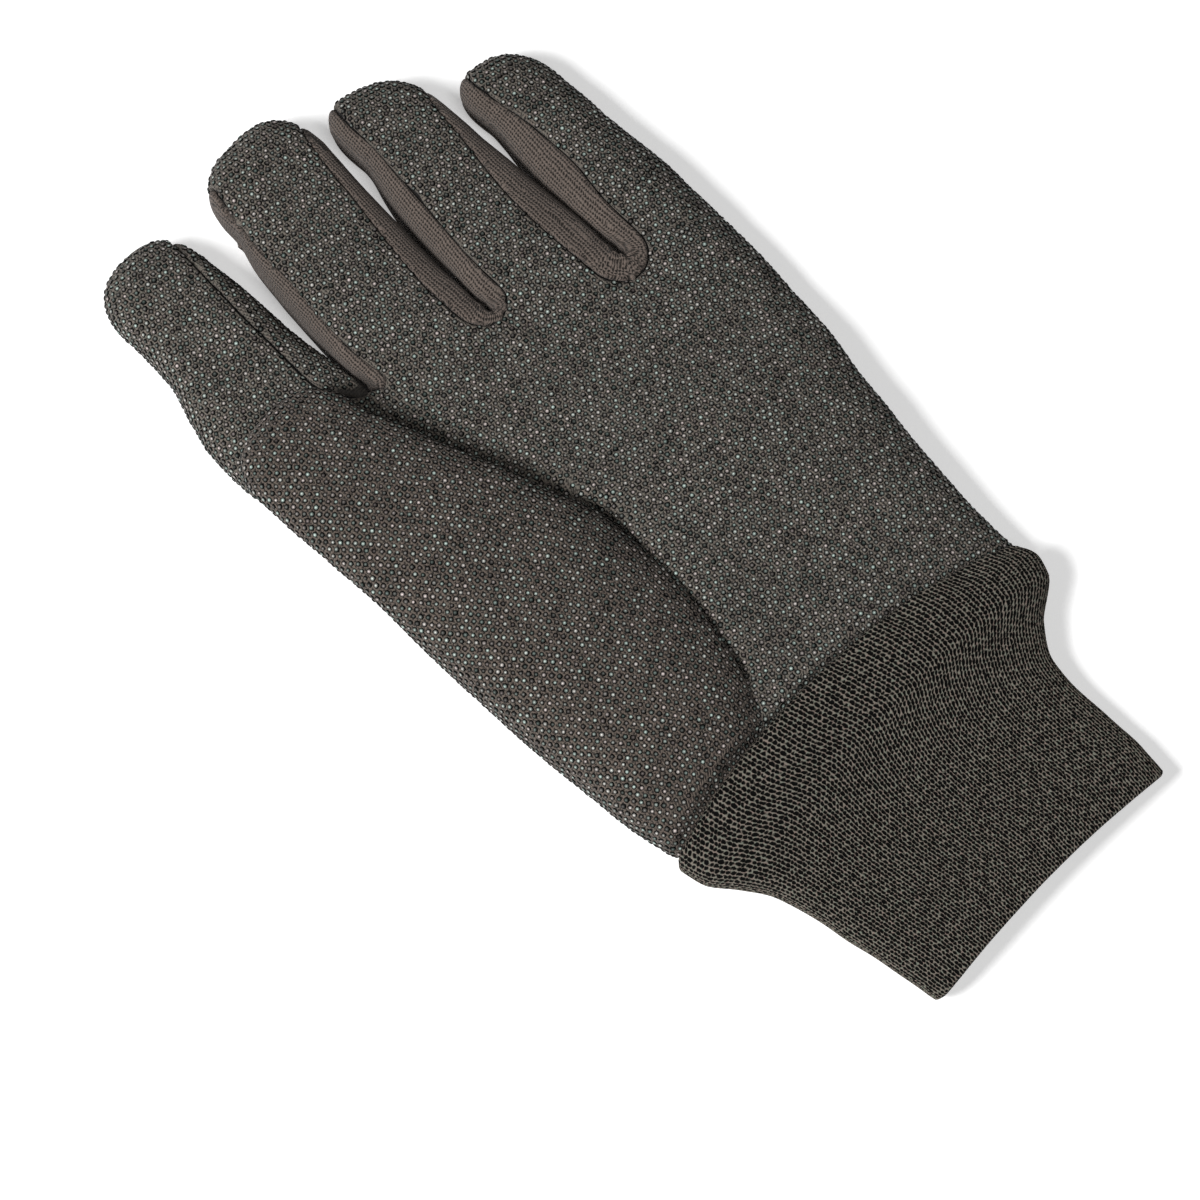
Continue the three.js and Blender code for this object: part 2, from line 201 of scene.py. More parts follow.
finger_names = list(FINGERS)
has_gap = {"index": (0, 1), "middle": (1, 1), "ring": (1, 1), "little": (1, 0)}  # on its left and right
tip_steps = [
    (math.cos(angle) ** (2 / TIP_SHAPE), math.sin(angle) ** (2 / TIP_SHAPE))
    for angle in np.linspace(0, math.pi / 2, TIP_ROWS)[1:]
]  # how narrow each ring of a round tip is, and how far along it lies


def all_round(columns):
    """Points round a section from its left edge: their places across it, and 1 above or -1 below."""
    angle = math.pi * (1 - np.arange(2 * columns) / columns)
    return np.cos(angle), np.where(np.sin(angle) >= 0, 1.0, -1.0)


ring_across, ring_side = all_round(FINGER_COLUMNS)
hem_across, palm_side = all_round(PALM_COLUMNS)


def upright(across, shape):
    """How high a rounded section stands at a place across it, from 0 at its edges to 1."""
    return np.clip(1 - np.abs(across) ** shape, 0, None) ** (1 / shape)


def smooth_step(value):
    """Rises smoothly from 0 to 1 while the value goes from 0 to 1."""
    value = np.clip(value, 0, 1)
    return value * value * (3 - 2 * value)


def finger_profile(name, across):
    """How high a finger's section stands across it, and whether each place is on a side with a gap."""
    left_gap, right_gap = has_gap[name]
    at_gap = np.where(across > 0, right_gap, left_gap)
    return upright(across, np.where(at_gap == 1, INNER_SHAPE, FINGER_SHAPE)), at_gap


def middle(section):
    return (section.left + section.right) / 2


def half_width(section):
    return (section.right - section.left) / 2


def mid_height(section):
    return (section.bottom + section.top) / 2


def half_height(section):
    return (section.top - section.bottom) / 2


def across_of(section, x):
    """Where x lies across a section, from -1 at its left edge to 1 at its right."""
    return (x - middle(section)) / half_width(section)


def line_of(section, across):
    """The slanted and bowed line that a section follows, as y at places across it."""
    return section.y - section.slant * across / 2 + section.bow * (1 - across**2)


def crotch_line(x):
    """The line at which palm ends and fingers start, as y at any x."""
    return line_of(PALM[-1], across_of(PALM[-1], x))


def seam_at_wrist(x):
    """The seam between the hand and the cuff, as y at any x."""
    return line_of(CUFF[-1], across_of(CUFF[-1], x))


def finger_rings(name):
    """The rings of points round one finger, from the crotch line to its tip, as an array of rows."""
    at, digit = finger_at[name], FINGERS[name]
    start = np.full(len(ring_across), CROTCH_NEAR)
    for _ in range(4):
        here = at(start)
        start = crotch_line(middle(here) + half_width(here) * ring_across)
    last = digit.rows[-1]
    profile, at_gap = finger_profile(name, ring_across)
    rows = []
    for share in np.linspace(0, 1, int(round((last.y - start.mean()) / ROW_STEP))):
        y = start + share * (last.y - last.slant * ring_across / 2 - start)
        here = at(y)
        x = middle(here) + half_width(here) * ring_across
        filled = GAP_LIFT * at_gap * (1 - smooth_step((y - start) / GAP_LENGTH))
        z = mid_height(here) + half_height(here) * (ring_side * profile + filled * (1 - profile))
        rows.append(np.stack([x, y, z], 1))
    for narrow, along in tip_steps[:-1]:
        low = upright(along, FINGER_SHAPE)
        x = middle(last) + half_width(last) * narrow * ring_across
        y = last.y + digit.tip * along - last.slant * narrow * ring_across / 2
        z = mid_height(last) + half_height(last) * low * ring_side * profile
        rows.append(np.stack([x, y, z], 1))
    return np.array(rows)


rings = {name: finger_rings(name) for name in finger_names}
for name in finger_names:
    print(name, "has", len(rings[name]), "rings")

# %% Lay out the palm and join it to the fingers
def fingers_side_by_side(values):
    """Joins one array per finger, each with the upper columns or the lower ones, into the palm's ring."""
    top = [v[: FINGER_COLUMNS] for v in values] + [values[-1][FINGER_COLUMNS : FINGER_COLUMNS + 1]]
    low = [v[FINGER_COLUMNS:] for v in reversed(values)]
    low[0] = low[0][1:]
    return np.concatenate(top + low)


crotch_ring = fingers_side_by_side([rings[name][0] for name in finger_names])
finger_share = fingers_side_by_side([ring_across for name in finger_names])
finger_upright = fingers_side_by_side([finger_profile(name, ring_across)[0] for name in finger_names])
beside_gap = fingers_side_by_side([finger_profile(name, ring_across)[1] for name in finger_names])
crotch_across = across_of(PALM[-1], crotch_ring[:, 0])
finger_feet = [finger_at[name](FOOT_ROW) for name in finger_names]
finger_height, finger_middle = (
    fingers_side_by_side([np.full(len(ring_across), measure(foot)) for foot in finger_feet])
    for measure in (half_height, mid_height)
)


def palm_ring(y_end):
    """One ring of the palm. y_end says where its section lies, and the crotch line is at PALM[-1].y."""
    below = PALM[-1].y - y_end
    mix = smooth_step(1 - below / COLUMN_RUN)
    across = hem_across * (1 - mix) + crotch_across * mix
    here = palm_at(np.full(len(across), y_end))
    x = middle(here) + half_width(here) * across
    y = line_of(here, across)
    opened = upright(np.clip(1 - below / CROTCH_SLOPE, 0, 1), FINGER_SHAPE)
    at_crotch = np.abs(finger_share) ** 3
    mixed = at_crotch * opened + (1 - at_crotch) * smooth_step(below / FINGER_RUN)
    whole = finger_upright * (1 - mixed) + upright(across, PALM_SHAPE) * mixed
    fade = smooth_step(below / HEIGHT_RUN)
    height = finger_height * (1 - fade) + half_height(here) * fade
    level = finger_middle * (1 - fade) + mid_height(here) * fade
    z = level + height * (palm_side * whole + GAP_LIFT * beside_gap * (1 - whole) * (1 - fade))
    return np.stack([x, y, z], 1)


steps = [0.05 * k * k for k in range(1, 11)]  # the rows just below the crotches stand close together
while steps[-1] < PALM[-1].y - (CUFF[-1].y - HEM):
    steps.append(steps[-1] + ROW_STEP)
palm_rings = np.array([palm_ring(PALM[-1].y - step) for step in reversed(steps)])
print("the palm has", len(palm_rings), "rings of", palm_rings.shape[1], "points")

# %% Number the points and make the faces
points, first = [], {}
count = 0
for name in ["palm"] + finger_names:
    rows = palm_rings if name == "palm" else rings[name]
    first[name] = count
    points.append(rows.reshape(-1, 3))
    count += rows.shape[0] * rows.shape[1]
poles = {}
for name in finger_names:
    digit = FINGERS[name]
    last = digit.rows[-1]
    poles[name] = count
    points.append(np.array([[middle(last), last.y + digit.tip, mid_height(last)]]))
    count += 1
points = np.concatenate(points)

around = 2 * FINGER_COLUMNS
same = np.arange(count)
for left_finger, right_finger in zip(finger_names, finger_names[1:]):
    from_left = first[left_finger] + FINGER_COLUMNS
    from_right = first[right_finger]
    points[from_right] = (points[from_left] + points[from_right]) / 2
    same[from_left] = from_right
crotches = [points[first[name]].copy() for name in finger_names[1:]]
crotch_ids = fingers_side_by_side([first[name] + np.arange(around) for name in finger_names])


def strip_of_faces(lower, upper):
    """Four-sided faces between two rings of point numbers."""
    return np.stack([lower, upper, np.roll(upper, -1), np.roll(lower, -1)], 1)


faces = []
palm_ids = first["palm"] + np.arange(palm_rings[..., 0].size).reshape(palm_rings.shape[:2])
for lower, upper in zip(palm_ids, list(palm_ids[1:]) + [crotch_ids]):
    faces.append(strip_of_faces(lower, upper))
tip_faces = []
for name in finger_names:
    ids = first[name] + np.arange(len(rings[name]) * around).reshape(-1, around)
    for lower, upper in zip(ids, ids[1:]):
        faces.append(strip_of_faces(lower, upper))
    pole = np.full(around, poles[name])
    tip_faces.append(np.stack([ids[-1], pole, np.roll(ids[-1], -1)], 1))
faces = same[np.concatenate(faces)]
tip_faces = np.concatenate(tip_faces)
print(len(points), "points and", len(faces) + len(tip_faces), "faces in the skin of the hand")


def edges_of(*groups):
    """The different edges of several groups of faces, as pairs of point numbers."""
    pairs = [np.stack([group, np.roll(group, -1, axis=1)], -1).reshape(-1, 2) for group in groups]
    return np.unique(np.sort(np.concatenate(pairs), axis=1), axis=0)


def point_normals(points, *groups):
    """The outward direction of the cloth at each point."""
    normals = np.zeros_like(points)
    for group in groups:
        corners = points[group]
        facing = np.cross(corners[:, 2] - corners[:, 0], corners[:, -1] - corners[:, 1])
        for k in range(group.shape[1]):
            for axis in range(3):
                normals[:, axis] += np.bincount(group[:, k], facing[:, axis], len(points))
    return normals / np.maximum(np.linalg.norm(normals, axis=1), 1e-9)[:, None]


def meeting(edges, count):
    """How many edges meet at each point."""
    return np.maximum(np.bincount(edges.ravel(), minlength=count), 1)


def from_neighbours(values, edges):
    """The sum of the values of each point's neighbours."""
    a, b = edges.T
    return np.bincount(a, values[b], len(values)) + np.bincount(b, values[a], len(values))


def relax(points, edges, weight, rounds):
    """Evens out points by moving each towards the mean of its neighbours, by its weight."""
    joined = meeting(edges, len(points))[:, None]
    for _ in range(rounds):
        mean = np.stack([from_neighbours(points[:, axis], edges) for axis in range(3)], 1) / joined
        points = points + (mean - points) * weight[:, None]
    return points


CROTCH_SOFTNESS = (0.3, 1, 1)  # the foot of the index gap stays sharper than the others
CROTCH_REACH = 7.0  # how far round a crotch the cloth is evened, in mm

near_crotch = np.zeros(count)
for place, share in zip(crotches, CROTCH_SOFTNESS):
    away = np.linalg.norm((points - place) * [1, 1, 0.6], axis=1)
    near_crotch = np.maximum(near_crotch, share * np.exp(-((away / CROTCH_REACH) ** 2)))
points = relax(points, edges_of(faces, tip_faces), 0.6 * near_crotch, 25)
points[:, 2] = np.maximum(points[:, 2], LOWEST)
normals = -point_normals(points, faces, tip_faces)
faces, tip_faces = faces[:, ::-1], tip_faces[:, ::-1]  # so that they look outwards
print("the skin stands", round(points[:, 2].max(), 1), "mm high")

# %% [markdown]
# ## Soft unevenness
# Jersey is never quite smooth: it has wide shallow hollows, and small puckers round the foot of each gap
# between two fingers. Blender's Displace modifier could push the cloth in and out with a texture. Here the
# same is done with a small noise function on the points, because the amount then differs from place to
# place and every run gives the same cloth.

# %% Noise and puckers
NOISE_CELLS = 32  # the noise repeats after so many cells
UNEVENNESS = [(0.55, 22), (0.22, 9), (0.07, 3.5)]  # depth and size of the hollows, in mm


def swell(places, size, seed):
    """Smooth noise from -1 to 1 with hollows of about the given size in mm, at an array of places."""
    table = np.random.default_rng(seed).uniform(-1, 1, (NOISE_CELLS,) * 3)
    scaled = places / size + 100
    whole = np.floor(scaled).astype(int)
    part = scaled - whole
    part = part * part * (3 - 2 * part)
    found = 0
    for dx in (0, 1):
        for dy in (0, 1):
            for dz in (0, 1):
                share = (
                    (part[:, 0] if dx else 1 - part[:, 0])
                    * (part[:, 1] if dy else 1 - part[:, 1])
                    * (part[:, 2] if dz else 1 - part[:, 2])
                )
                corner = (whole + [dx, dy, dz]) % NOISE_CELLS
                found = found + share * table[corner[:, 0], corner[:, 1], corner[:, 2]]
    return found


def uneven(places, seed):
    """How far the cloth stands out at each place, in mm."""
    return sum(depth * swell(places, size, seed + k) for k, (depth, size) in enumerate(UNEVENNESS))


def puckers(places, crotch):
    """How far the cloth stands out round a crotch: a ring of six small folds, with a pit in its middle."""
    offset = places - (crotch + [0, -0.6, 0])
    away = np.linalg.norm(offset * [1, 1, 0.5], axis=1)
    turn = np.arctan2(offset[:, 1], offset[:, 0])
    folds = 0.35 * np.cos(6 * turn + 1) * np.exp(-(((away - 2.6) / 1.5) ** 2))
    return folds - 1.3 * np.exp(-((away / 1.3) ** 2))


resting = smooth_step(points[:, 2] / 4)  # cloth that lies on the table stays flat
points = points + normals * (uneven(points, 5) * resting)[:, None]
for place in crotches:
    points = points + normals * (puckers(points, place) * resting)[:, None]
points[:, 2] = np.maximum(points[:, 2], LOWEST)

# %% [markdown]
# ## Seams
# Every seam is a smooth line drawn on the form. The palm is one piece from the wrist to the fingertips,
# and a long narrow side strip is sewn in between two fingers, round the foot of their gap. The dotted
# cloth also goes right round the index finger and over the edge of the hand to a seam on its back. The
# lines below are drawn from above, and what counts for each piece is how far a point lies inside its
# lines. Such a distance is all that is needed to cut a piece and to shape the cloth near its edge.

# %% Draw the seams
BACK_SEAM = [
    (-34, -90), (-32, -40), (-27, 20), (-24.15, 64), (-24.05, 76), (-22.3, 88), (-21, 101), (-18, 118),
    (-14, 150),
]
STRIPS = {
    "index_middle": dict(
        depth=3, slit=(-24.6, 67.4), lean=0.02,
        left=[(-15.5, 134), (-18.5, 120), (-21.5, 101), (-24.5, 76), (-24.5, 66)],
        right=[
            (-20.8, 66), (-21, 76), (-19.5, 88), (-17.4, 98), (-16.4, 108), (-14.2, 117), (-13, 122),
            (-10.8, 129.6),
        ],
        past=[(-10.6, 134)],
    ),
    "middle_ring": dict(
        depth=6.5, slit=(8.9, 58.9), lean=0.1,
        left=[
            (17.2, 128.5), (13.8, 121.5), (11.4, 113.4), (9.6, 105), (6.8, 93), (3.8, 80), (2.2, 70),
            (2, 61),
        ],
        right=[
            (14.6, 61), (15.2, 70), (17, 81), (19.2, 93), (20.6, 101), (22, 107), (22.3, 113), (23, 118.5),
            (25.4, 124.5),
        ],
        past=[(25, 130), (19, 132)],
    ),
    "ring_little": dict(
        depth=8, slit=(41.0, 46.1), lean=0.05,
        left=[(42.8, 110), (40.2, 104), (38.4, 95.5), (36.2, 87), (33.4, 74), (32.2, 60), (32, 46)],
        right=[
            (47.2, 46), (48.2, 58), (50.4, 68), (51.2, 77), (51.6, 86), (51.2, 94), (51.2, 101), (52.4, 106),
        ],
        past=[(52, 111), (46, 114)],
    ),
}
SIDE_SEAM = 5.0  # height of the seam between palm side and back
INDEX_CREASE = [
    (-26.5, 66), (-31, 70), (-33, 76), (-32.4, 84), (-31.7, 91.3), (-31.1, 100), (-30, 109), (-28.7, 117),
    (-27.5, 124), (-26, 131), (-25, 136),
]
LINE_STEPS = 8  # points on a smooth line from one corner to the next
FAR = 50.0  # stands for any distance that is too large to matter, in mm
MARGIN = 12.0  # distances to a line are worked out this far round it


def smooth_line(corners):
    """A smooth line through corners, as an array of points."""
    c = np.array(corners, float)
    c = np.vstack([2 * c[0] - c[1], c, 2 * c[-1] - c[-2]])
    t = np.arange(LINE_STEPS)[:, None] / LINE_STEPS
    parts = []
    for p0, p1, p2, p3 in zip(c, c[1:], c[2:], c[3:]):
        square, cube = 2 * p0 - 5 * p1 + 4 * p2 - p3, 3 * p1 - p0 - 3 * p2 + p3
        parts.append(0.5 * (2 * p1 + (p2 - p0) * t + square * t**2 + cube * t**3))
    return np.vstack(parts + [c[-2:-1]])


def distance_to_line(places, line, closed=False):
    """The distance from each place to a line of points, in as many dimensions as both have."""
    a = line if closed else line[:-1]
    b = np.roll(line, -1, axis=0) if closed else line[1:]
    best = np.full(len(places), 1e9)
    along = b - a
    length = np.maximum((along**2).sum(1), 1e-12)
    for start, step, size in zip(a, along, length):
        t = np.clip((places - start) @ step / size, 0, 1)
        best = np.minimum(best, np.linalg.norm(places - start - t[:, None] * step, axis=1))
    return best


def inside_line(places, line):
    """Whether each place lies inside a closed line, both in plan."""
    x, y = places[:, 0], places[:, 1]
    inside = np.zeros(len(places), bool)
    for (x0, y0), (x1, y1) in zip(line, np.roll(line, -1, axis=0)):
        if y0 != y1:
            crosses = (y0 > y) != (y1 > y)
            inside ^= crosses & (x < (x1 - x0) * (y - y0) / (y1 - y0) + x0)
    return inside


def strip_outline(strip):
    """The closed plan of a side strip: down its left seam, round its foot, and up its right seam."""
    down, up = smooth_line(strip["left"]), smooth_line(strip["right"])
    x0, x1, y0 = down[-1][0], up[0][0], down[-1][1]
    turn = np.linspace(0, math.pi, 14)[1:-1]
    foot = np.stack([(x0 + x1) / 2 - (x1 - x0) / 2 * np.cos(turn), y0 - strip["depth"] * np.sin(turn)], 1)
    return np.vstack([down, foot, up, np.array(strip["past"], float)])


outlines = {name: strip_outline(strip) for name, strip in STRIPS.items()}
back_line = smooth_line(BACK_SEAM)
crease_line = smooth_line(INDEX_CREASE)


def close_to(line, places):
    """Whether each place lies so near a line in plan that its distance has to be worked out."""
    return ((places[:, :2] > line.min(0) - MARGIN) & (places[:, :2] < line.max(0) + MARGIN)).all(1)


def in_strip(places, name):
    """How far each place lies inside a side strip in plan, in mm; outside is negative."""
    outline = outlines[name]
    near = np.full(len(places), -FAR)
    close = close_to(outline, places)
    away = distance_to_line(places[close][:, :2], outline, closed=True)
    near[close] = np.where(inside_line(places[close][:, :2], outline), away, -away)
    return near


def in_back(places):
    """How far each place lies inside the plain back."""
    seam_x = np.interp(places[:, 1], back_line[:, 1], back_line[:, 0])
    return np.minimum(SIDE_SEAM - places[:, 2], places[:, 0] - seam_x)


def along_cloth(inside_of, places, facing):
    """Turns a distance in plan into one along the cloth, which is longer where the cloth is steep."""
    step = 0.4
    slope = np.zeros((len(places), 3))
    for axis in (0, 1):
        shift = np.zeros(3)
        shift[axis] = step
        slope[:, axis] = (inside_of(places + shift) - inside_of(places - shift)) / (2 * step)
    straight_in = (slope * facing).sum(1)
    level = np.sqrt(np.maximum((slope**2).sum(1) - straight_in**2, 0.06))
    return inside_of(places) / level


def evened(values, net, rounds=4):
    """Averages values with those of the neighbouring points, which smooths the line where they pass zero."""
    edges = np.concatenate([net[:, :2], net[:, 1:3], net[:, 2:4], net[:, [3, 0]]])
    joined = meeting(edges, len(values))
    values = np.clip(values, -6, 6)
    for _ in range(rounds):
        values = (values + from_neighbours(values, edges) / joined) / 2
    return values


def from_crease(places):
    """How far each place lies from the crease on the index finger, in plan."""
    close = close_to(crease_line, places) & (places[:, 2] > SIDE_SEAM)
    away = np.full(len(places), FAR)
    away[close] = distance_to_line(places[close][:, :2], crease_line)
    return away


crease_length = np.linalg.norm(np.diff(crease_line, axis=0), axis=1).sum()
print("the crease of the index finger is", round(float(crease_length)), "mm")

# %% [markdown]
# ## Flat patterns
# The knitting and the printed dots lie on the flat cloth before it is cut, so the maker needs to know
# where each point of the finished glove lay on it. Blender's own unwrapping could find that. Here the
# first guess is the distance walked over the skin from the middle of the palm or finger, and then the
# pattern is relaxed like a net of springs, until its threads have the length that they have on the form.
# The result is stored on the points as an attribute, in millimetres, and every cloth finish reads it.

# %% Walk over the skin for a first guess
def walked(ring_points):
    """The distance walked round each ring from its left edge, and the whole way round."""
    step = np.linalg.norm(np.roll(ring_points, -1, axis=1) - ring_points, axis=2)
    way = np.cumsum(step, axis=1)
    return np.concatenate([np.zeros((len(way), 1)), way[:, :-1]], 1), way[:, -1:]


def walk_across(u, place, way, start, columns, turned=0.0, towards=1):
    """Sets the places across the flat cloth of some columns, walked from the column start."""
    away = way - turned - way[:, start : start + 1]
    u[:, columns] = place[:, start : start + 1, 0] + towards * away[:, columns]


front = points[:, :2].copy()
back = points[:, :2].copy()
palm_points = points[palm_ids]
way, total = walked(palm_points)
column = np.arange(2 * PALM_COLUMNS)
from_left = int(PALM_COLUMNS * 0.27)  # the palm is flat between these two columns
from_right = PALM_COLUMNS - from_left
right = (column > from_right) & (column <= PALM_COLUMNS + PALM_COLUMNS // 3)
wrapped = column > 2 * PALM_COLUMNS - PALM_COLUMNS // 2
u = palm_points[..., 0].copy()
walk_across(u, palm_points, way, from_left, column < from_left)
walk_across(u, palm_points, way, from_right, right)
walk_across(u, palm_points, way, from_left, wrapped, turned=total)
front[palm_ids, 0] = u

from_edge = PALM_COLUMNS + PALM_COLUMNS // 4  # the back is walked round its edge the other way
u = palm_points[..., 0].copy()
walk_across(u, palm_points, way, from_edge, (column > PALM_COLUMNS // 2) & (column < from_edge), towards=-1)
back[palm_ids, 0] = u

over, under = FINGER_COLUMNS // 2, FINGER_COLUMNS + FINGER_COLUMNS // 2  # middles of palm side and back
column = np.arange(around)
for name in finger_names:
    ids = first[name] + np.arange(len(rings[name]) * around).reshape(-1, around)
    place = points[ids]
    way, total = walked(place)
    u = place[:, over : over + 1, 0] + way - way[:, over : over + 1]
    wrapped = (column > under)[None, :]
    if name == "index":
        crease_x = np.interp(place[..., 1], crease_line[:, 1], crease_line[:, 0])
        wrapped = (place[..., 0] > crease_x) | (column > FINGER_COLUMNS)[None, :]
    front[ids, 0] = np.where(wrapped, u - total, u)
    back[ids, 0] = place[:, under : under + 1, 0] + (way[:, under : under + 1] - way)


FOOT_TURN = 5.0  # radius at which a strip turns round the foot of its gap, in mm
FOOT_LEVEL = 8.0  # height of its middle
RELAX_ROUNDS = 160


def strip_flat(places, strip):
    """Where a side strip's cloth lay: distance from the slit between the fingers, and way along the strip."""
    x0, y0 = strip["slit"]
    x, y, z = places.T
    slit_x = x0 + strip["lean"] * np.clip(y - y0, 0, None)
    side = np.where(x >= slit_x, 1.0, -1.0)
    round_foot = np.sqrt((x - x0) ** 2 + (y - y0) ** 2 + (z - FOOT_LEVEL) ** 2)
    out = np.where(y >= y0, np.hypot(x - slit_x, z - FOOT_LEVEL), round_foot)
    angle = np.arctan2(x - x0, np.clip(y0 - y, 1e-6, None))
    along = np.where(y >= y0, side * (y - y0 + FOOT_TURN * math.pi / 2), FOOT_TURN * angle)
    return np.stack([out, along], 1)


def relax_pattern(flat, places, edges):
    """Moves the points of a flat pattern until its edges have the lengths that they have on the form."""
    a, b = edges[:, 0], edges[:, 1]
    want = np.linalg.norm(places[a] - places[b], axis=1)
    joined = meeting(edges, len(flat))
    usable = np.linalg.norm(flat[a] - flat[b], axis=1) < 4 * want + 1
    a, b, want = a[usable], b[usable], want[usable]
    for _ in range(RELAX_ROUNDS):
        gap = flat[b] - flat[a]
        length = np.maximum(np.linalg.norm(gap, axis=1), 1e-6)
        push = gap * (0.5 * (1 - want / length))[:, None]
        for axis in (0, 1):
            move = np.bincount(a, push[:, axis], len(flat)) - np.bincount(b, push[:, axis], len(flat))
            flat[:, axis] += 1.4 * move / joined
    return flat


# %% [markdown]
# ## Cutting a piece and rolling its edge
# A piece of cloth is the part of the skin that lies inside its seam lines. BMesh splits every edge that
# the line crosses, joins the new points across the faces, and drops what is outside. The cut edge is then
# rolled inwards as it is in a turned seam: a few rows of new faces follow a curve of the cloth's own
# thickness. Two rolled edges that meet make the dark groove of a seam, in real geometry.

# %% Cut and roll
ROLL = 0.85  # radius of a rolled edge
SEAM_GAP = 0.16  # how far a rolled edge stays away from the middle of its seam
ROLL_STEPS = [0.35, 0.7, 1.05, 1.4, 1.8, 2.3]  # turned angles, in radians
SHORT = 0.25  # edges on a cut shorter than this are closed
ON_CUT = 0.03  # a point this near the cut lies on it
RIM_ROUNDS = 4  # how often the line of a cut is smoothed


def add_object(name, data):
    """A new object in the scene."""
    thing = bpy.data.objects.new(name, data)
    bpy.context.scene.collection.objects.link(thing)
    return thing


def store(mesh, name, kind, values):
    """Keeps one value or one vector for each point of a mesh."""
    socket = "vector" if kind == "FLOAT_VECTOR" else "value"
    mesh.attributes.new(name, kind, "POINT").data.foreach_set(socket, values.astype(np.float32).ravel())


def flat_layers(bm):
    """The layers for the flat pattern, across and along, and for how far an edge is turned."""
    return [bm.verts.layers.float[name] for name in ("u", "v", "turn")]


def cloth_mesh(places, flat, groups):
    """A BMesh of a group of faces, with the flat pattern on its points."""
    used = np.unique(np.concatenate([group.ravel() for group in groups]))
    place_of = np.full(len(places), -1)
    place_of[used] = np.arange(len(used))
    mesh = bpy.data.meshes.new("cloth")
    mesh.from_pydata(places[used].tolist(), [], sum([place_of[group].tolist() for group in groups], []))
    bm = bmesh.new()
    bm.from_mesh(mesh)
    bpy.data.meshes.remove(mesh)
    u, v = bm.verts.layers.float.new("u"), bm.verts.layers.float.new("v")
    bm.verts.layers.float.new("turn")
    for vert, (flat_u, flat_v) in zip(bm.verts, flat[used]):
        vert[u], vert[v] = flat_u, flat_v
    return bm, used


def line_through(sides):
    """The two corners of a face between which the cut passes, from the values at its corners."""
    zeros = [k for k, value in enumerate(sides) if value == 0.0]
    for i in zeros:
        for j in zeros:
            one, other = sides[i + 1 : j], sides[j + 1 :] + sides[:i]
            if i < j and one and other and max(one) * max(other) <= 0:
                return i, j
    return None


def trim(bm, values):
    """Cuts the cloth where the values of its points pass zero, and keeps the positive side."""
    field = bm.verts.layers.float.new("field")
    layers = flat_layers(bm)[:2]
    for vert, value in zip(bm.verts, values):
        vert[field] = 0.0 if abs(value) < ON_CUT else value
    for edge in list(bm.edges):
        a, b = edge.verts
        if a[field] * b[field] < 0:
            share = a[field] / (a[field] - b[field])
            mixed = [a[layer] + share * (b[layer] - a[layer]) for layer in layers]
            vert = bmesh.utils.edge_split(edge, a, share)[1]
            vert[field] = 0.0
            for layer, value in zip(layers, mixed):
                vert[layer] = value
    for face in list(bm.faces):
        sides = [vert[field] for vert in face.verts]
        if min(sides) < 0 < max(sides):
            ends = line_through(sides)
            if ends:
                bmesh.utils.face_split(face, face.verts[ends[0]], face.verts[ends[1]])
    outside = [face for face in bm.faces if min(vert[field] for vert in face.verts) < 0]
    bmesh.ops.delete(bm, geom=outside, context="FACES")
    rim = [vert for vert in bm.verts if vert.is_boundary and vert[field] == 0.0]
    bmesh.ops.remove_doubles(bm, verts=rim, dist=SHORT)
    bm.verts.layers.float.remove(field)


def keep_largest(bm):
    """Drops crumbs of cloth, and keeps the connected piece with the most faces."""
    left, groups = set(bm.faces), []
    while left:
        group, front_line = set(), [left.pop()]
        while front_line:
            face = front_line.pop()
            group.add(face)
            for edge in face.edges:
                for other in edge.link_faces:
                    if other in left:
                        left.discard(other)
                        front_line.append(other)
        groups.append(group)
    groups.sort(key=len)
    for group in groups[:-1]:
        bmesh.ops.delete(bm, geom=list(group), context="FACES")


def roll_edges(bm):
    """Turns every cut edge inwards on a curve."""
    u, v, turned = flat_layers(bm)
    bm.normal_update()
    ahead = {}
    for edge in [edge for edge in bm.edges if edge.is_boundary]:
        loop = edge.link_loops[0]
        ahead.setdefault(loop.vert, []).append(loop.link_loop_next.vert)
    rim = set(ahead) | {vert for nexts in ahead.values() for vert in nexts}
    tangent = {vert: Vector() for vert in rim}
    for vert, nexts in ahead.items():
        for other in nexts:
            step = (other.co - vert.co).normalized()
            tangent[vert] += step
            tangent[other] += step
    curve = {}
    for vert in rim:
        if tangent[vert].length < 1e-6:
            continue
        normal = vert.normal.normalized()
        outward = tangent[vert].cross(normal).normalized()
        grow = [0.0, 0.0]
        total = 1e-9
        for edge in vert.link_edges:
            other = edge.other_vert(vert)
            if other in rim:
                continue
            step = vert.co - other.co
            weight = max(step.dot(outward), 0) / max(step.length, 1e-6)
            if weight > 0.3:
                reach = step.dot(outward)
                grow[0] += weight * (vert[u] - other[u]) / reach
                grow[1] += weight * (vert[v] - other[v]) / reach
                total += weight
        curve[vert] = (vert.co.copy(), normal, outward, grow[0] / total, grow[1] / total, vert[u], vert[v])
    before = {vert: vert for vert in curve}
    for angle in ROLL_STEPS:
        now = {}
        for vert, (start, normal, outward, grow_u, grow_v, u0, v0) in curve.items():
            new = bm.verts.new(start + ROLL * (math.sin(angle) * outward - (1 - math.cos(angle)) * normal))
            new[u], new[v] = u0 + grow_u * ROLL * angle, v0 + grow_v * ROLL * angle
            new[turned] = angle
            now[vert] = new
        for vert, nexts in ahead.items():
            for other in nexts:
                if vert in now and other in now:
                    bm.faces.new((before[other], before[vert], now[vert], now[other]))
        before = now


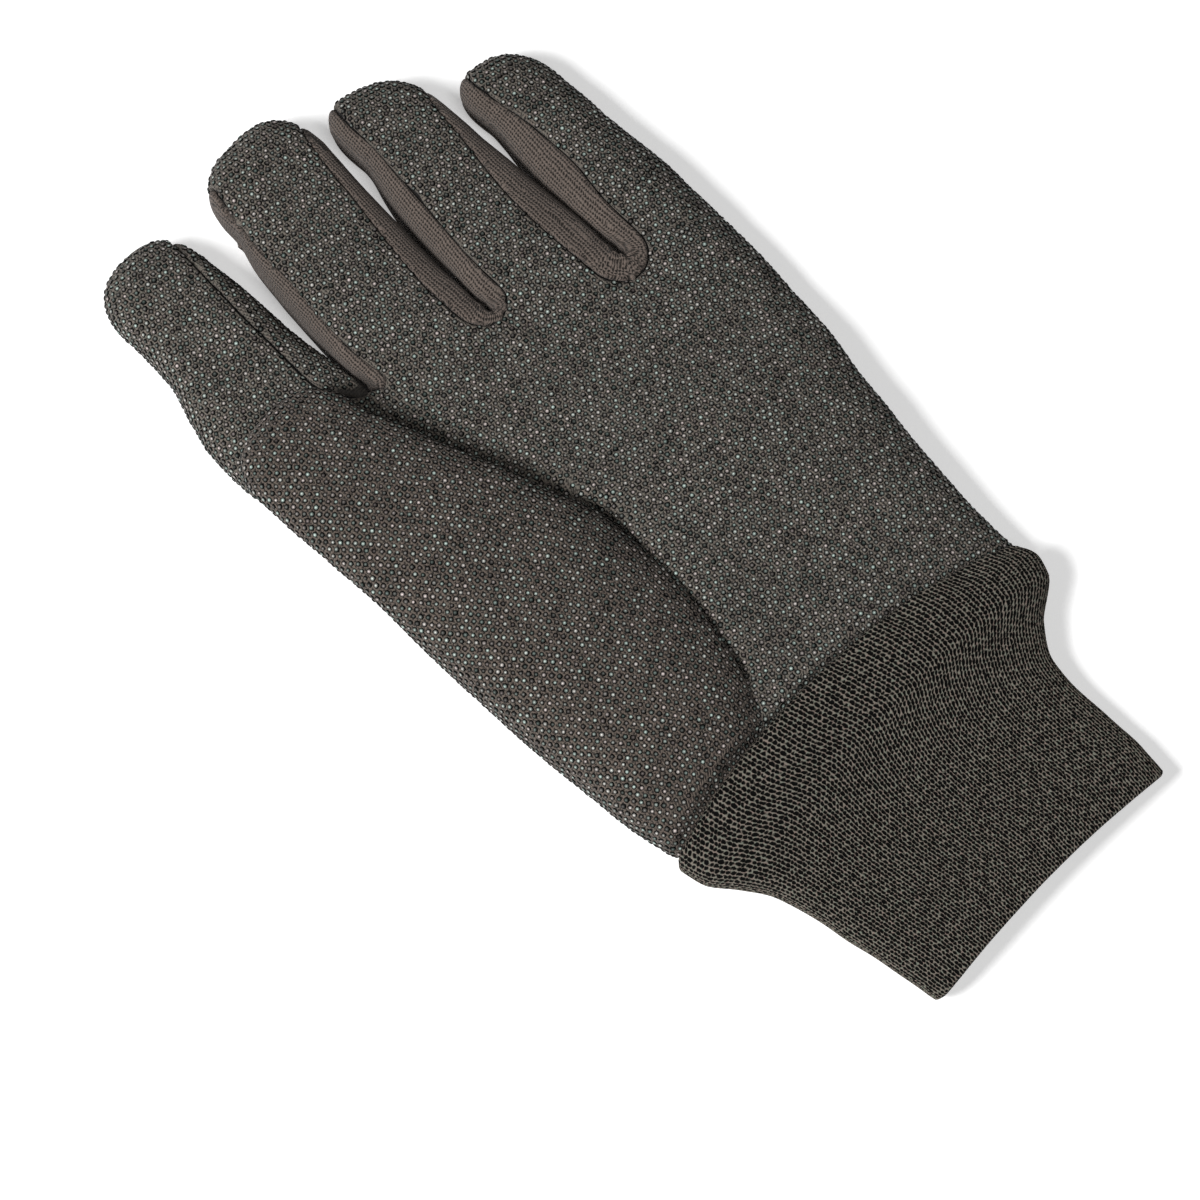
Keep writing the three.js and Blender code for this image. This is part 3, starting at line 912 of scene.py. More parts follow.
def even_rim(bm):
    """Smooths the line of a cut, which otherwise shows where it crossed the faces."""
    u, v, _ = flat_layers(bm)
    for _ in range(RIM_ROUNDS):
        moves = {}
        for vert in bm.verts:
            if vert.is_boundary:
                others = [edge.other_vert(vert) for edge in vert.link_edges if edge.is_boundary]
                if len(others) == 2:
                    a, b = others
                    if (a.co - vert.co).normalized().dot((b.co - vert.co).normalized()) < -0.5:
                        moves[vert] = ((a.co + b.co) / 2, (a[u] + b[u]) / 2, (a[v] + b[v]) / 2)
        for vert, (place, flat_u, flat_v) in moves.items():
            vert.co = vert.co.lerp(place, 0.5)
            vert[u] += 0.5 * (flat_u - vert[u])
            vert[v] += 0.5 * (flat_v - vert[v])


def arrays_of(bm):
    """Points, flat pattern and edges of a BMesh as arrays."""
    bm.verts.index_update()
    u, v, _ = flat_layers(bm)
    places = np.array([vert.co for vert in bm.verts], float)
    flat = np.array([(vert[u], vert[v]) for vert in bm.verts], float)
    edges = np.array([(edge.verts[0].index, edge.verts[1].index) for edge in bm.edges])
    return places, flat, edges


def finish_cloth(bm, name):
    """Turns a BMesh in mm into an object in the frame, in metres, with its flat pattern as an attribute."""
    u, v, turned = flat_layers(bm)
    flat = np.array([(vert[u], vert[v], vert[turned]) for vert in bm.verts], np.float32)
    for layer in ("u", "v", "turn"):
        bm.verts.layers.float.remove(bm.verts.layers.float[layer])
    for vert in bm.verts:
        x, y, z = vert.co
        vert.co = ((x + FRAME_X) * MM, (y + FRAME_Y) * MM, z * MM)
    mesh = bpy.data.meshes.new(name)
    bm.to_mesh(mesh)
    bm.free()
    store(mesh, "flat", "FLOAT_VECTOR", flat)
    mesh.shade_smooth()
    return add_object(name, mesh)


def rolled_piece(bm, name):
    """Makes a piece out of cut cloth: an even rim, a relaxed pattern and rolled edges."""
    keep_largest(bm)
    even_rim(bm)
    places, flat, edges = arrays_of(bm)
    u, v, _ = flat_layers(bm)
    for vert, (flat_u, flat_v) in zip(bm.verts, relax_pattern(flat, places, edges)):
        vert[u], vert[v] = flat_u, flat_v
    roll_edges(bm)
    piece = finish_cloth(bm, name)
    print(name, "has", len(piece.data.polygons), "faces")
    return piece


def sewn_piece(name, values, flat):
    """Cuts a piece out of the skin of the hand. The values tell how far inside its seams each point lies."""
    kept = values - ROLL - SEAM_GAP
    bm, used = cloth_mesh(points, flat, [group[(kept[group] > 0).any(1)] for group in (faces, tip_faces)])
    trim(bm, kept[used])
    return rolled_piece(bm, name)


# %% [markdown]
# ## The thumb
# The thumb is a tube of its own, sewn into the palm, and it lies folded over. It starts as a whole tube
# from the wrist to its tip. Where it grows out of the hand, the part that would lie inside is cut away, and
# its edge is rolled, so that the seam round its root is the same kind of groove as the others. The palm
# gets a hole under it, because the real glove is hollow there.

# %% Lay out the thumb
THUMB_COLUMNS = 44  # over its upper half
THUMB_ROWS = 130
THUMB_HEM = -65.0  # roughly where its hem lies along the glove
THUMB_LIFT = 26.0  # past this place along the glove the thumb lies free on the index finger


def section_distance(places, here, shape):
    """Roughly how far each place lies outside a rounded section, in mm; inside is negative."""
    across = (places[:, 0] - middle(here)) / half_width(here)
    up = (places[:, 2] - mid_height(here)) / half_height(here)
    reach = np.maximum((np.abs(across) ** shape + np.abs(up) ** shape) ** (1 / shape), 1e-3)
    slope = np.hypot(
        (np.abs(across) / reach) ** (shape - 1) / half_width(here),
        (np.abs(up) / reach) ** (shape - 1) / half_height(here),
    )
    return (reach - 1) / slope


def outside_palm(places):
    """How far each place lies outside the palm's form."""
    row = places[:, 1].copy()
    for _ in range(4):
        here = palm_at(row)
        across = np.clip((places[:, 0] - middle(here)) / half_width(here), -1, 1)
        row = places[:, 1] + here.slant * across / 2 - here.bow * (1 - across**2)
    return section_distance(places, palm_at(row), PALM_SHAPE)


def outside_thumb(places):
    """How far each place lies outside the thumb's form."""
    return section_distance(places, thumb_at(places[:, 1]), THUMB_SHAPE)


def thumb_rings():
    """The rings of points round the thumb, from the hem to its tip."""
    across, side = all_round(THUMB_COLUMNS)
    here = thumb_at(np.full(len(across), THUMB_HEM))
    start = seam_at_wrist(middle(here) + half_width(here) * across) - HEM
    last = THUMB.rows[-1]
    rows = []
    for share in np.linspace(0, 1, THUMB_ROWS):
        y = start + share * (last.y - start)
        here = thumb_at(y)
        x = middle(here) + half_width(here) * across
        z = mid_height(here) + half_height(here) * side * upright(across, THUMB_SHAPE)
        rows.append(np.stack([x, y, z], 1))
    for narrow, along in tip_steps:
        low = upright(along, THUMB_SHAPE)
        x = middle(last) + half_width(last) * narrow * across
        z = mid_height(last) + half_height(last) * low * side * upright(across, THUMB_SHAPE)
        rows.append(np.stack([x, np.full(len(x), last.y + THUMB.tip * along), z], 1))
    return np.array(rows)


thumb_rows = thumb_rings()
thumb_ids = np.arange(thumb_rows[..., 0].size).reshape(thumb_rows.shape[:2])
thumb_points = thumb_rows.reshape(-1, 3)
thumb_faces = np.concatenate([strip_of_faces(a, b) for a, b in zip(thumb_ids, thumb_ids[1:])])
thumb_normals = point_normals(thumb_points, thumb_faces)
if thumb_normals[thumb_ids[60, THUMB_COLUMNS // 2], 2] < 0:
    thumb_faces, thumb_normals = thumb_faces[:, ::-1], -thumb_normals
thumb_points = thumb_points + thumb_normals * uneven(thumb_points, 21)[:, None]
way, total = walked(thumb_points[thumb_ids])
place = thumb_points[thumb_ids]
over, under = THUMB_COLUMNS // 2, THUMB_COLUMNS + THUMB_COLUMNS // 2
thumb_flat = np.stack([place[:, over : over + 1, 0] + way - way[:, over : over + 1], place[..., 1]], -1)
thumb_flat[:, under:, 0] -= total
thumb_flat = thumb_flat.reshape(-1, 2)
print("the thumb has", len(thumb_faces), "faces before it is cut")

# %% Press the palm down along the thumb and at the wrist
THUMB_PRESS, THUMB_PRESS_WIDTH = 5.5, 2.8  # the wide hollow beside the thumb, in mm
THUMB_GROOVE, THUMB_GROOVE_WIDTH = 1.6, 1.2  # and the narrow groove in it
WRIST_GROOVE, WRIST_GROOVE_WIDTH = 2.6, 2.2


def above_wrist(places):
    """How far each place lies from the seam of the cuff towards the fingers."""
    return places[:, 1] - seam_at_wrist(places[:, 0])


def drawn_in(places):
    """How far the hem at the cuff is drawn in."""
    return WRIST_GROOVE * np.maximum(1 - np.maximum(above_wrist(places), 0) / WRIST_GROOVE_WIDTH, 0) ** 1.6


beside_thumb = np.abs(outside_thumb(points))
x, y, z = points.T
pressed = THUMB_PRESS * smooth_step((y + 14) / 24) * (1 - smooth_step((y - 54) / 12))
pressed = pressed * np.exp(-((beside_thumb / THUMB_PRESS_WIDTH) ** 2))
pressed = pressed + THUMB_GROOVE * np.exp(-((beside_thumb / THUMB_GROOVE_WIDTH) ** 2))
pressed = pressed * smooth_step((z - 8) / 4)
pressed = pressed * smooth_step((above_wrist(points) - 6) / 12)
pressed = pressed + drawn_in(points) * smooth_step(z / 3) * np.clip(normals[:, 2], 0.25, 1)
facing = np.stack([evened(normals[:, axis], faces, 6) for axis in range(3)], 1)
facing /= np.maximum(np.linalg.norm(facing, axis=1), 1e-6)[:, None]
strip_inside = {}
for name in STRIPS:
    inside = along_cloth(lambda places: in_strip(places, name), points, facing)
    near_foot = 1 - smooth_step((y - STRIPS[name]["slit"][1] - 9) / 8)
    strip_inside[name] = inside + near_foot * (evened(inside, faces) - inside)
crease_away = along_cloth(from_crease, points, facing)
points = points - normals * pressed[:, None]
thumb_pressed = drawn_in(thumb_points) * np.clip(thumb_normals[:, 2], 0.25, 1)
thumb_points = thumb_points - thumb_normals * thumb_pressed[:, None]
print("the cloth is pressed down by up to", round(float(pressed.max()), 1), "mm")

# %% Cut the pieces of the hand and the thumb
HOLE_RIM = 2.0  # how far the palm reaches in under the thumb, in mm

back_inside = in_back(points)
past_wrist = smooth_step((above_wrist(points) - 1) / 9)
thumb_hole = outside_thumb(points) + HOLE_RIM + ROLL + 6 * (1 - past_wrist)
thumb_hole = np.where(points[:, 1] < THUMB_LIFT, thumb_hole, FAR)
outside_strips = [-inside for inside in strip_inside.values()]
palm_inside = np.minimum.reduce([-back_inside, crease_away - 0.2, thumb_hole, *outside_strips])
palm_panel = sewn_piece("palm_panel", palm_inside, front)
back_panel = sewn_piece("back_panel", np.minimum(back_inside, thumb_hole), back)
side_strips = {}
for name, strip in STRIPS.items():
    inside = np.minimum(strip_inside[name], points[:, 2] - SIDE_SEAM)
    side_strips[name] = sewn_piece("fourchette_" + name, inside, strip_flat(points, strip))

thumb_kept = np.maximum(outside_palm(thumb_points), thumb_points[:, 1] - THUMB_LIFT) - ROLL - SEAM_GAP
thumb_kept += 3 * (1 - smooth_step(above_wrist(thumb_points) / 8))
bm, used = cloth_mesh(thumb_points, thumb_flat, [thumb_faces[(thumb_kept[thumb_faces] > 0).any(1)]])
trim(bm, thumb_kept[used])
bmesh.ops.remove_doubles(bm, verts=bm.verts, dist=0.001)
thumb_panel = rolled_piece(bm, "thumb_panel")

# %% [markdown]
# ## Seam allowances
# Inside the real glove the cut edges of the cloth lie along every seam and close it from behind. Without
# them one could look into the glove where three pieces meet. They are a strip of the same skin, a little
# deeper, which is left standing only near the seams.

# %% Close the seams from behind
ALLOWANCE_WIDTH = 2.6  # how far the cloth inside reaches on each side of a seam, in mm
ALLOWANCE_DEPTH = 1.25
beside_strips = [np.abs(inside) for inside in strip_inside.values()]
seam_away = np.minimum.reduce([np.abs(back_inside), crease_away, *beside_strips])
near_seam = (seam_away < ALLOWANCE_WIDTH) & (thumb_hole > 0)
inner = points - normals * ALLOWANCE_DEPTH
# Their cloth gets the near-black shaded_cloth: painted shade, much darker than the jersey itself.
bm, _ = cloth_mesh(inner, front, [group[near_seam[group].all(1)] for group in (faces, tip_faces)])
seam_allowances = finish_cloth(bm, "seam_allowances")
print("the seam allowances have", len(seam_allowances.data.polygons), "faces")

# %% [markdown]
# ## The knit cuff
# The cuff is a tube of ribbed knitting. Every rib is one column of stitches and runs the whole length, so
# the ribs stand close together at the narrow mouth and spread at the seam, where the knitting is stretched
# over the wider hem and puffs out. At the mouth the tube is folded back into itself. The ribs are real
# ridges here, four columns of points for each, because they show in the outline and catch the light.

# %% Knit the cuff
RIBS = 204
RIB_HEIGHT = 0.26
CUFF_WALL = 2.0
CUFF_ROLL = 1.8  # how the cuff turns in at its seam
MOUTH_ROUND = 7  # rows of points round the edge of the mouth
cuff_columns = 4 * RIBS
rib_phase = 2 * math.pi * np.arange(cuff_columns) / 4
rib_relief = RIB_HEIGHT * (np.cos(rib_phase) * 0.5)


def walk(steps):
    """How far one has come after each step."""
    return np.concatenate([[0], np.cumsum(steps)])


def cuff_ring(y_end, inward, beyond, relief):
    """One ring of the cuff, drawn in by inward and moved along by beyond."""
    here = cuff_at(np.float64(y_end))
    angle = np.linspace(math.pi, -math.pi, 721)
    across, side = np.cos(angle), np.where(np.sin(angle) >= 0, 1.0, -1.0)
    up = side * upright(across, CUFF_SHAPE)
    x = middle(here) + half_width(here) * across
    z = mid_height(here) + half_height(here) * up
    way = walk(np.hypot(np.diff(x), np.diff(z)))
    at = np.arange(cuff_columns) / cuff_columns * way[-1]
    x, z, across, up = (np.interp(at, way, values) for values in (x, z, across, up))
    tangent = np.stack([np.roll(x, -1) - np.roll(x, 1), np.roll(z, -1) - np.roll(z, 1)], 1)
    tangent /= np.linalg.norm(tangent, axis=1)[:, None]
    out = np.stack([-tangent[:, 1], tangent[:, 0]], 1)
    y = line_of(here, across) - here.lean * up / 2 + beyond
    near_seam = math.exp(-((CUFF[-1].y - y_end) / 7.0) ** 2)
    turn = at / way[-1] * 2 * math.pi
    circle = np.stack([np.cos(turn), np.sin(turn), 0 * at], 1)
    gather = 0.9 * near_seam * swell(circle * way[-1] / (2 * math.pi), 5.0, 31)
    place = np.stack([x, y, z], 1)
    soft = 0.5 * swell(place, 20, 32) + 0.18 * swell(place, 7, 33)
    stand = relief * rib_relief + gather + soft - inward
    x, z = x + out[:, 0] * stand, z + out[:, 1] * stand
    return np.stack([x, y, np.maximum(z, LOWEST + 0.5 * np.clip(inward, 0, CUFF_WALL))], 1)


rows = []  # for each ring of the cuff: its row, drawn in by, moved along by, and share of the ribs' height
for turn in np.linspace(2.6, 0, 9)[:-1]:
    rows.append((CUFF[-1].y - CUFF_ROLL, CUFF_ROLL * (1 - math.cos(turn)), CUFF_ROLL * math.sin(turn), 0.5))
rows += [(y, 0.0, 0.0, 1.0) for y in np.arange(CUFF[-1].y - CUFF_ROLL, CUFF[0].y + 0.6, -1.1)]
for turn in np.linspace(0, math.pi, MOUTH_ROUND)[1:]:
    inward, beyond = CUFF_WALL / 2 * (1 - math.cos(turn)), -CUFF_WALL / 2 * math.sin(turn)
    rows.append((CUFF[0].y, inward, beyond, 1 - turn / math.pi))
rows += [(y, CUFF_WALL, 0.0, 0.0) for y in np.linspace(CUFF[0].y, CUFF[-1].y - CUFF_ROLL, 16)[1:]]
cuff_rows = np.array([cuff_ring(*row) for row in rows])
cuff_ids = np.arange(len(rows) * cuff_columns).reshape(len(rows), cuff_columns)
loops = list(zip(cuff_ids, cuff_ids[1:])) + [(cuff_ids[-1], cuff_ids[0])]
cuff_faces = np.concatenate([strip_of_faces(a, b) for a, b in loops])
cuff_points = cuff_rows.reshape(-1, 3)
cuff_normals = point_normals(cuff_points, cuff_faces)
if cuff_normals[cuff_ids[30, cuff_columns // 4], 2] < 0:
    cuff_faces = cuff_faces[:, ::-1]
along = walk(np.linalg.norm(np.diff(cuff_rows[:, cuff_columns // 4], axis=0), axis=1))
mesh = bpy.data.meshes.new("knit_cuff")
mesh.from_pydata(((cuff_points + [FRAME_X, FRAME_Y, 0]) * MM).tolist(), [], cuff_faces.tolist())
mesh.shade_smooth()
flat = np.zeros((len(cuff_points), 3), np.float32)
flat[:, 0] = np.tile(np.arange(cuff_columns) / 4, len(rows))
flat[:, 1] = np.repeat(along, cuff_columns)
store(mesh, "flat", "FLOAT_VECTOR", flat)
knit_cuff = add_object("knit_cuff", mesh)
print("knit_cuff has", len(cuff_faces), "faces and", RIBS, "ribs")

# %% [markdown]
# ## The printed dots
# Thousands of small domes of soft plastic are printed on the flat cloth before it is cut, in rows that
# close up like a honeycomb. A bump in the material could only pretend that they stand up. Each dot here is
# a small dome of its own, because the dots make the outline of the glove rough and each one catches its
# own point of light. They are laid out in the flat pattern and carried to the form through its triangles.

# %% Print the dots
PALM_PITCH, PALM_TURN = 1.70, math.radians(-12)
THUMB_PITCH, THUMB_TURN = 1.81, math.radians(6)
DOT_RADIUS = 0.72
DOT_HEIGHT = 0.30
DOT_SIDES = 8
DOT_SIZES = (0.86, 1.12)  # the smallest and the largest, as shares
DOT_TILT = 0.10  # how unevenly the dots lie
DOT_RINGS = [(1.0, -0.12), (0.62, 0.74)]  # reach and rise of the two rings of a dot below its top
TOO_NEAR = 0.72  # of two dots nearer than this share of the pitch, one is left out
LOWEST_DOT = 0.02  # how near the table a dot may lie, in mm
DOTS_A_PIECE = 8000
LAST_TURN = 0.8  # dots stop where a rolled edge has turned this far, in radians


def flat_of(cloth):
    """Places in mm, outward directions, flat pattern and triangles of a piece of cloth."""
    mesh = cloth.data
    mesh.calc_loop_triangles()
    count = len(mesh.vertices)
    places, outward, flat = (np.empty(3 * count, np.float32) for _ in range(3))
    mesh.vertices.foreach_get("co", places)
    mesh.vertex_normals.foreach_get("vector", outward)
    mesh.attributes["flat"].data.foreach_get("vector", flat)
    triangles = np.empty(3 * len(mesh.loop_triangles), np.int32)
    mesh.loop_triangles.foreach_get("vertices", triangles)
    return places.reshape(-1, 3) / MM, outward.reshape(-1, 3), flat.reshape(-1, 3), triangles.reshape(-1, 3)


def twice_area(one, other):
    """Twice the area of the triangles between pairs of directions in the flat pattern."""
    return one[:, 0] * other[:, 1] - one[:, 1] * other[:, 0]


def honeycomb_on(cloth, pitch, turn):
    """Where the dots of a honeycomb print lie on a piece of cloth, and which way each one faces."""
    places, outward, flat, triangles = flat_of(cloth)
    triangles = triangles[flat[triangles][:, :, 2].max(1) < LAST_TURN]
    spin = np.array([[math.cos(turn), math.sin(turn)], [-math.sin(turn), math.cos(turn)]])
    corners = flat[triangles][:, :, :2] @ spin.T
    row_step = pitch * math.sqrt(3) / 2
    low, high = corners.min(1), corners.max(1)
    found, facing = [], []
    a, b, c = corners[:, 0], corners[:, 1], corners[:, 2]
    area = twice_area(b - a, c - a)
    sound = (np.abs(area) > 1e-6) & ((high - low).max(1) < 4 * pitch)
    area = np.where(sound, area, 1)
    for row_ahead in range(3):
        row = np.ceil(low[:, 1] / row_step) + row_ahead
        shift = (row % 2) * pitch / 2
        for ahead in range(3):
            column = np.ceil((low[:, 0] - shift) / pitch) + ahead
            spot = np.stack([column * pitch + shift, row * row_step], 1)
            to_b, to_c = twice_area(spot - a, c - a) / area, twice_area(b - a, spot - a) / area
            weights = np.stack([1 - to_b - to_c, to_b, to_c], 1)
            hit = sound & (weights.min(1) >= 0)
            found.append(np.einsum("nk,nkx->nx", weights[hit], places[triangles[hit]]))
            facing.append(np.einsum("nk,nkx->nx", weights[hit], outward[triangles[hit]]))
    found, facing = np.concatenate(found), np.concatenate(facing)
    tree = KDTree(len(found))
    for k, place in enumerate(found):
        tree.insert(place, k)
    tree.balance()
    kept = np.ones(len(found), bool)
    for k, place in enumerate(found):
        if kept[k]:
            for _, other, _ in tree.find_range(place, TOO_NEAR * pitch):
                if other > k:
                    kept[other] = False
    facing = facing[kept]
    return found[kept], facing / np.linalg.norm(facing, axis=1)[:, None]


def dome_pieces(name, found, facing, seed):
    """Small domes at the found places, in pieces of a size that stays easy to handle."""
    chance = np.random.default_rng(seed)
    facing = facing + chance.normal(0, DOT_TILT, facing.shape)
    facing /= np.linalg.norm(facing, axis=1)[:, None]
    side = np.cross(facing, [0.3, 1, 0.2])
    side /= np.linalg.norm(side, axis=1)[:, None]
    other = np.cross(facing, side)
    size = chance.uniform(*DOT_SIZES, len(found))
    tint = chance.uniform(0, 1, len(found))
    turn = 2 * math.pi * np.arange(DOT_SIDES) / DOT_SIDES
    shape = [(reach * math.cos(t), reach * math.sin(t), rise) for reach, rise in DOT_RINGS for t in turn]
    shape = np.array(shape + [(0, 0, 1)])
    n = DOT_SIDES
    after = [(k + 1) % n for k in range(n)]
    fan = [(k, after[k], n + after[k]) for k in range(n)]
    fan += [(k, n + after[k], n + k) for k in range(n)]
    fan = np.array(fan + [(n + k, n + after[k], 2 * n) for k in range(n)])
    across = (DOT_RADIUS * size)[:, None, None]
    rise = (DOT_HEIGHT * size)[:, None, None]
    ring = shape[None, :, :1] * side[:, None] + shape[None, :, 1:2] * other[:, None]
    spots = found[:, None, :] + across * ring
    spots = spots + rise * shape[None, :, 2:] * facing[:, None]
    spots[..., 2] = np.maximum(spots[..., 2], LOWEST_DOT)
    made = []
    for start in range(0, len(found), DOTS_A_PIECE):
        part = spots[start : start + DOTS_A_PIECE]
        corners = fan[None] + (np.arange(len(part)) * len(shape))[:, None, None]
        mesh = bpy.data.meshes.new(name)
        mesh.from_pydata((part.reshape(-1, 3) * MM).tolist(), [], corners.reshape(-1, 3).tolist())
        mesh.shade_smooth()
        store(mesh, "tint", "FLOAT", np.repeat(tint[start : start + DOTS_A_PIECE], len(shape)))
        # top is how high each point stands on its dot; the material paints a highlight where it is high.
        store(mesh, "top", "FLOAT", np.tile(np.clip(shape[:, 2], 0, 1), len(part)))
        made.append(add_object(name + "_" + str(len(made) + 1), mesh))
    print(name, len(found), "dots in", len(made), "pieces")
    return made


dot_pieces = dome_pieces("palm_dots", *honeycomb_on(palm_panel, PALM_PITCH, PALM_TURN), 61)
dot_pieces += dome_pieces("thumb_dots", *honeycomb_on(thumb_panel, THUMB_PITCH, THUMB_TURN), 62)

# %% Ride on the frame
pieces = {
    "palm_panel": (palm_panel, "dotted_jersey"),
    "back_panel": (back_panel, "plain_jersey"),
    "thumb_panel": (thumb_panel, "dotted_jersey"),
    "knit_cuff": (knit_cuff, "rib_knit"),
}
for name, piece in side_strips.items():
    pieces["fourchette_" + name] = (piece, "plain_jersey")
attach(seam_allowances, "root")
for node, (piece, slot) in pieces.items():
    piece.name = node + "_cloth"
    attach(piece, "root")
    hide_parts(node)
for piece in dot_pieces:
    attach(piece, "root")

# %% [markdown]
# ## The knitting of the jersey
# Jersey is knitted in columns of small V shapes. Close up it shows two slanting legs to each column and a
# dark pit between them. Real loops for the whole glove would need millions of faces, and a photograph of
# cloth could not follow the pattern. A few Math nodes draw the stitches from the flat pattern instead, so
# they run along each piece and bend where it bends. The same height drives the bump and the colour.
# In the pits the colour is painted darker, as painted shade.

# %% Helpers for node materials
RELIEF = 0.30  # how high the stitches stand, in mm


def blank_material(name):
    """A material with its node tree and its surface shader."""
    material = bpy.data.materials.new(name)
    material.use_nodes = True
    return material, material.node_tree, material.node_tree.nodes["Principled BSDF"]


def calculate(tree, operation, *values):
    """A Math node. Each value is a number or the output of another node."""
    node = tree.nodes.new("ShaderNodeMath")
    node.operation = operation
    for socket, value in zip(node.inputs, values):
        if isinstance(value, bpy.types.NodeSocket):
            tree.links.new(value, socket)
        else:
            socket.default_value = value
    return node.outputs[0]


def blend_colors(tree, share, low_color, high_color, kind="MIX"):
    """A Mix node for colours. Each colour is a tuple or an output."""
    node = tree.nodes.new("ShaderNodeMix")
    node.data_type = "RGBA"
    node.blend_type = kind
    for socket, value in ((node.inputs[0], share), (node.inputs[6], low_color), (node.inputs[7], high_color)):
        if isinstance(value, bpy.types.NodeSocket):
            tree.links.new(value, socket)
        elif isinstance(value, tuple):
            socket.default_value = (*value, 1)
        else:
            socket.default_value = value
    return node.outputs[2]


def speckle(tree, vector, scale, detail=2.0):
    """A Noise Texture's value at a vector."""
    node = tree.nodes.new("ShaderNodeTexNoise")
    node.inputs["Scale"].default_value = scale
    node.inputs["Detail"].default_value = detail
    tree.links.new(vector, node.inputs["Vector"])
    return node.outputs["Fac"]


def strayed(tree, value, amount, vector, scale, detail=2.0):
    """A value moved up and down by a noise."""
    noise = calculate(tree, "SUBTRACT", speckle(tree, vector, scale, detail), 0.5)
    return calculate(tree, "MULTIPLY_ADD", noise, amount, value)


def soft_step(tree, value, low, high):
    """A Map Range node that rises smoothly from 0 to 1 between two values."""
    node = tree.nodes.new("ShaderNodeMapRange")
    node.interpolation_type = "SMOOTHSTEP"
    node.inputs["From Min"].default_value = low
    node.inputs["From Max"].default_value = high
    tree.links.new(value, node.inputs["Value"])
    return node.outputs["Result"]


def raise_surface(tree, shader, height):
    """Gives the surface a bump from a height of 0 to 1."""
    bump = tree.nodes.new("ShaderNodeBump")
    bump.inputs["Distance"].default_value = RELIEF * MM
    tree.links.new(height, bump.inputs["Height"])
    tree.links.new(bump.outputs["Normal"], shader.inputs["Normal"])


# %% Jersey
WALE = 0.87  # width of one column of stitches, in mm
COURSE = 0.78  # height of one stitch


def flat_position(tree):
    """The flat pattern at the shaded point, as a vector and as its two numbers in mm."""
    flat = tree.nodes.new("ShaderNodeAttribute")
    flat.attribute_name = "flat"
    parts = tree.nodes.new("ShaderNodeSeparateXYZ")
    tree.links.new(flat.outputs["Vector"], parts.inputs["Vector"])
    return flat.outputs["Vector"], parts.outputs["X"], parts.outputs["Y"]


def stitch_height(tree, u, v):
    """The height of V-shaped stitches, from 0 in the pits to 1 on the yarn."""
    place = calculate(tree, "FRACT", calculate(tree, "DIVIDE", u, WALE))
    beside = calculate(tree, "ABSOLUTE", calculate(tree, "SUBTRACT", place, 0.5))
    beside = calculate(tree, "MULTIPLY", beside, 2.0)
    ridge = calculate(tree, "COSINE", calculate(tree, "MULTIPLY", beside, math.pi))
    slanted = calculate(tree, "MULTIPLY_ADD", beside, 0.45, calculate(tree, "DIVIDE", v, COURSE))
    wave = calculate(tree, "COSINE", calculate(tree, "MULTIPLY", slanted, 2 * math.pi))
    both = calculate(tree, "MULTIPLY_ADD", ridge, 0.27, calculate(tree, "MULTIPLY", wave, 0.23))
    return calculate(tree, "ADD", both, 0.5)


def jersey(name, pit, yarn, other_yarn):
    """Knitted cloth: the colour painted in the pits as shade, and two colours of yarn that run into each
    other.
    """
    material, tree, shader = blank_material(name)
    flat, u, v = flat_position(tree)
    u = strayed(tree, u, 0.6, flat, 0.35)
    v = strayed(tree, v, 0.9, flat, 0.5)
    height = strayed(tree, stitch_height(tree, u, v), 1.3, flat, 2.2, 3.0)
    yarn_color = blend_colors(tree, speckle(tree, flat, 0.9, 3.0), yarn, other_yarn)
    patches = blend_colors(tree, speckle(tree, flat, 0.06), (0.8,) * 3, (1.18,) * 3)
    worn = blend_colors(tree, 1.0, yarn_color, patches, "MULTIPLY")
    # Where the stitches are low the colour goes to the pit colour: painted shade in the recesses.
    rise = soft_step(tree, height, 0.12, 0.72)
    tree.links.new(blend_colors(tree, rise, pit, worn), shader.inputs["Base Color"])
    shader.inputs["Roughness"].default_value = 0.92
    shader.inputs["Specular IOR Level"].default_value = 0.25
    shader.inputs["Sheen Weight"].default_value = 0.08
    shader.inputs["Sheen Roughness"].default_value = 0.5
    raise_surface(tree, shader, height)
    return material


# The pit colours are painted shade in the recesses between the stitches.
JERSEYS = {  # colour in the pits, and those of the two yarns
    "plain_jersey_knit": [(0.014, 0.011, 0.009), (0.168, 0.128, 0.108), (0.142, 0.120, 0.103)],
    "dotted_jersey_knit": [(0.020, 0.017, 0.015), (0.196, 0.140, 0.122), (0.124, 0.142, 0.115)],
    # The thumb's copy of the dotted jersey is browner, and painted darker as shade against the key light that
    # falls on the thumb.
    "thumb_shaded_jersey_knit": [(0.020, 0.016, 0.014), (0.148, 0.102, 0.088), (0.104, 0.102, 0.080)],
    # shaded_cloth is painted shade, near black, for the seam allowances.
    "shaded_cloth": [(0.002, 0.002, 0.002), (0.008, 0.006, 0.005), (0.006, 0.005, 0.005)],
}
plain_jersey, dotted_jersey, thumb_shaded_jersey, shaded_cloth = (
    jersey(name, *colors) for name, colors in JERSEYS.items()
)

# %% Plastic dots
plastic, tree, shader = blank_material("printed_dots")
tint = tree.nodes.new("ShaderNodeAttribute")
tint.attribute_name = "tint"
top = tree.nodes.new("ShaderNodeAttribute")
top.attribute_name = "top"
# The top of each dot is painted lighter, up to near white on a few dots: a painted highlight, added to the
# real gloss of the plastic.
painted_highlight_color = blend_colors(tree, tint.outputs["Fac"], (0.78, 1.0, 0.91), (1.0, 0.86, 0.82))
other_tint = calculate(tree, "FRACT", calculate(tree, "MULTIPLY", tint.outputs["Fac"], 7.3))
painted_highlight_strength = calculate(tree, "MULTIPLY_ADD", calculate(tree, "POWER", other_tint, 1.2), 0.86, 0.13)
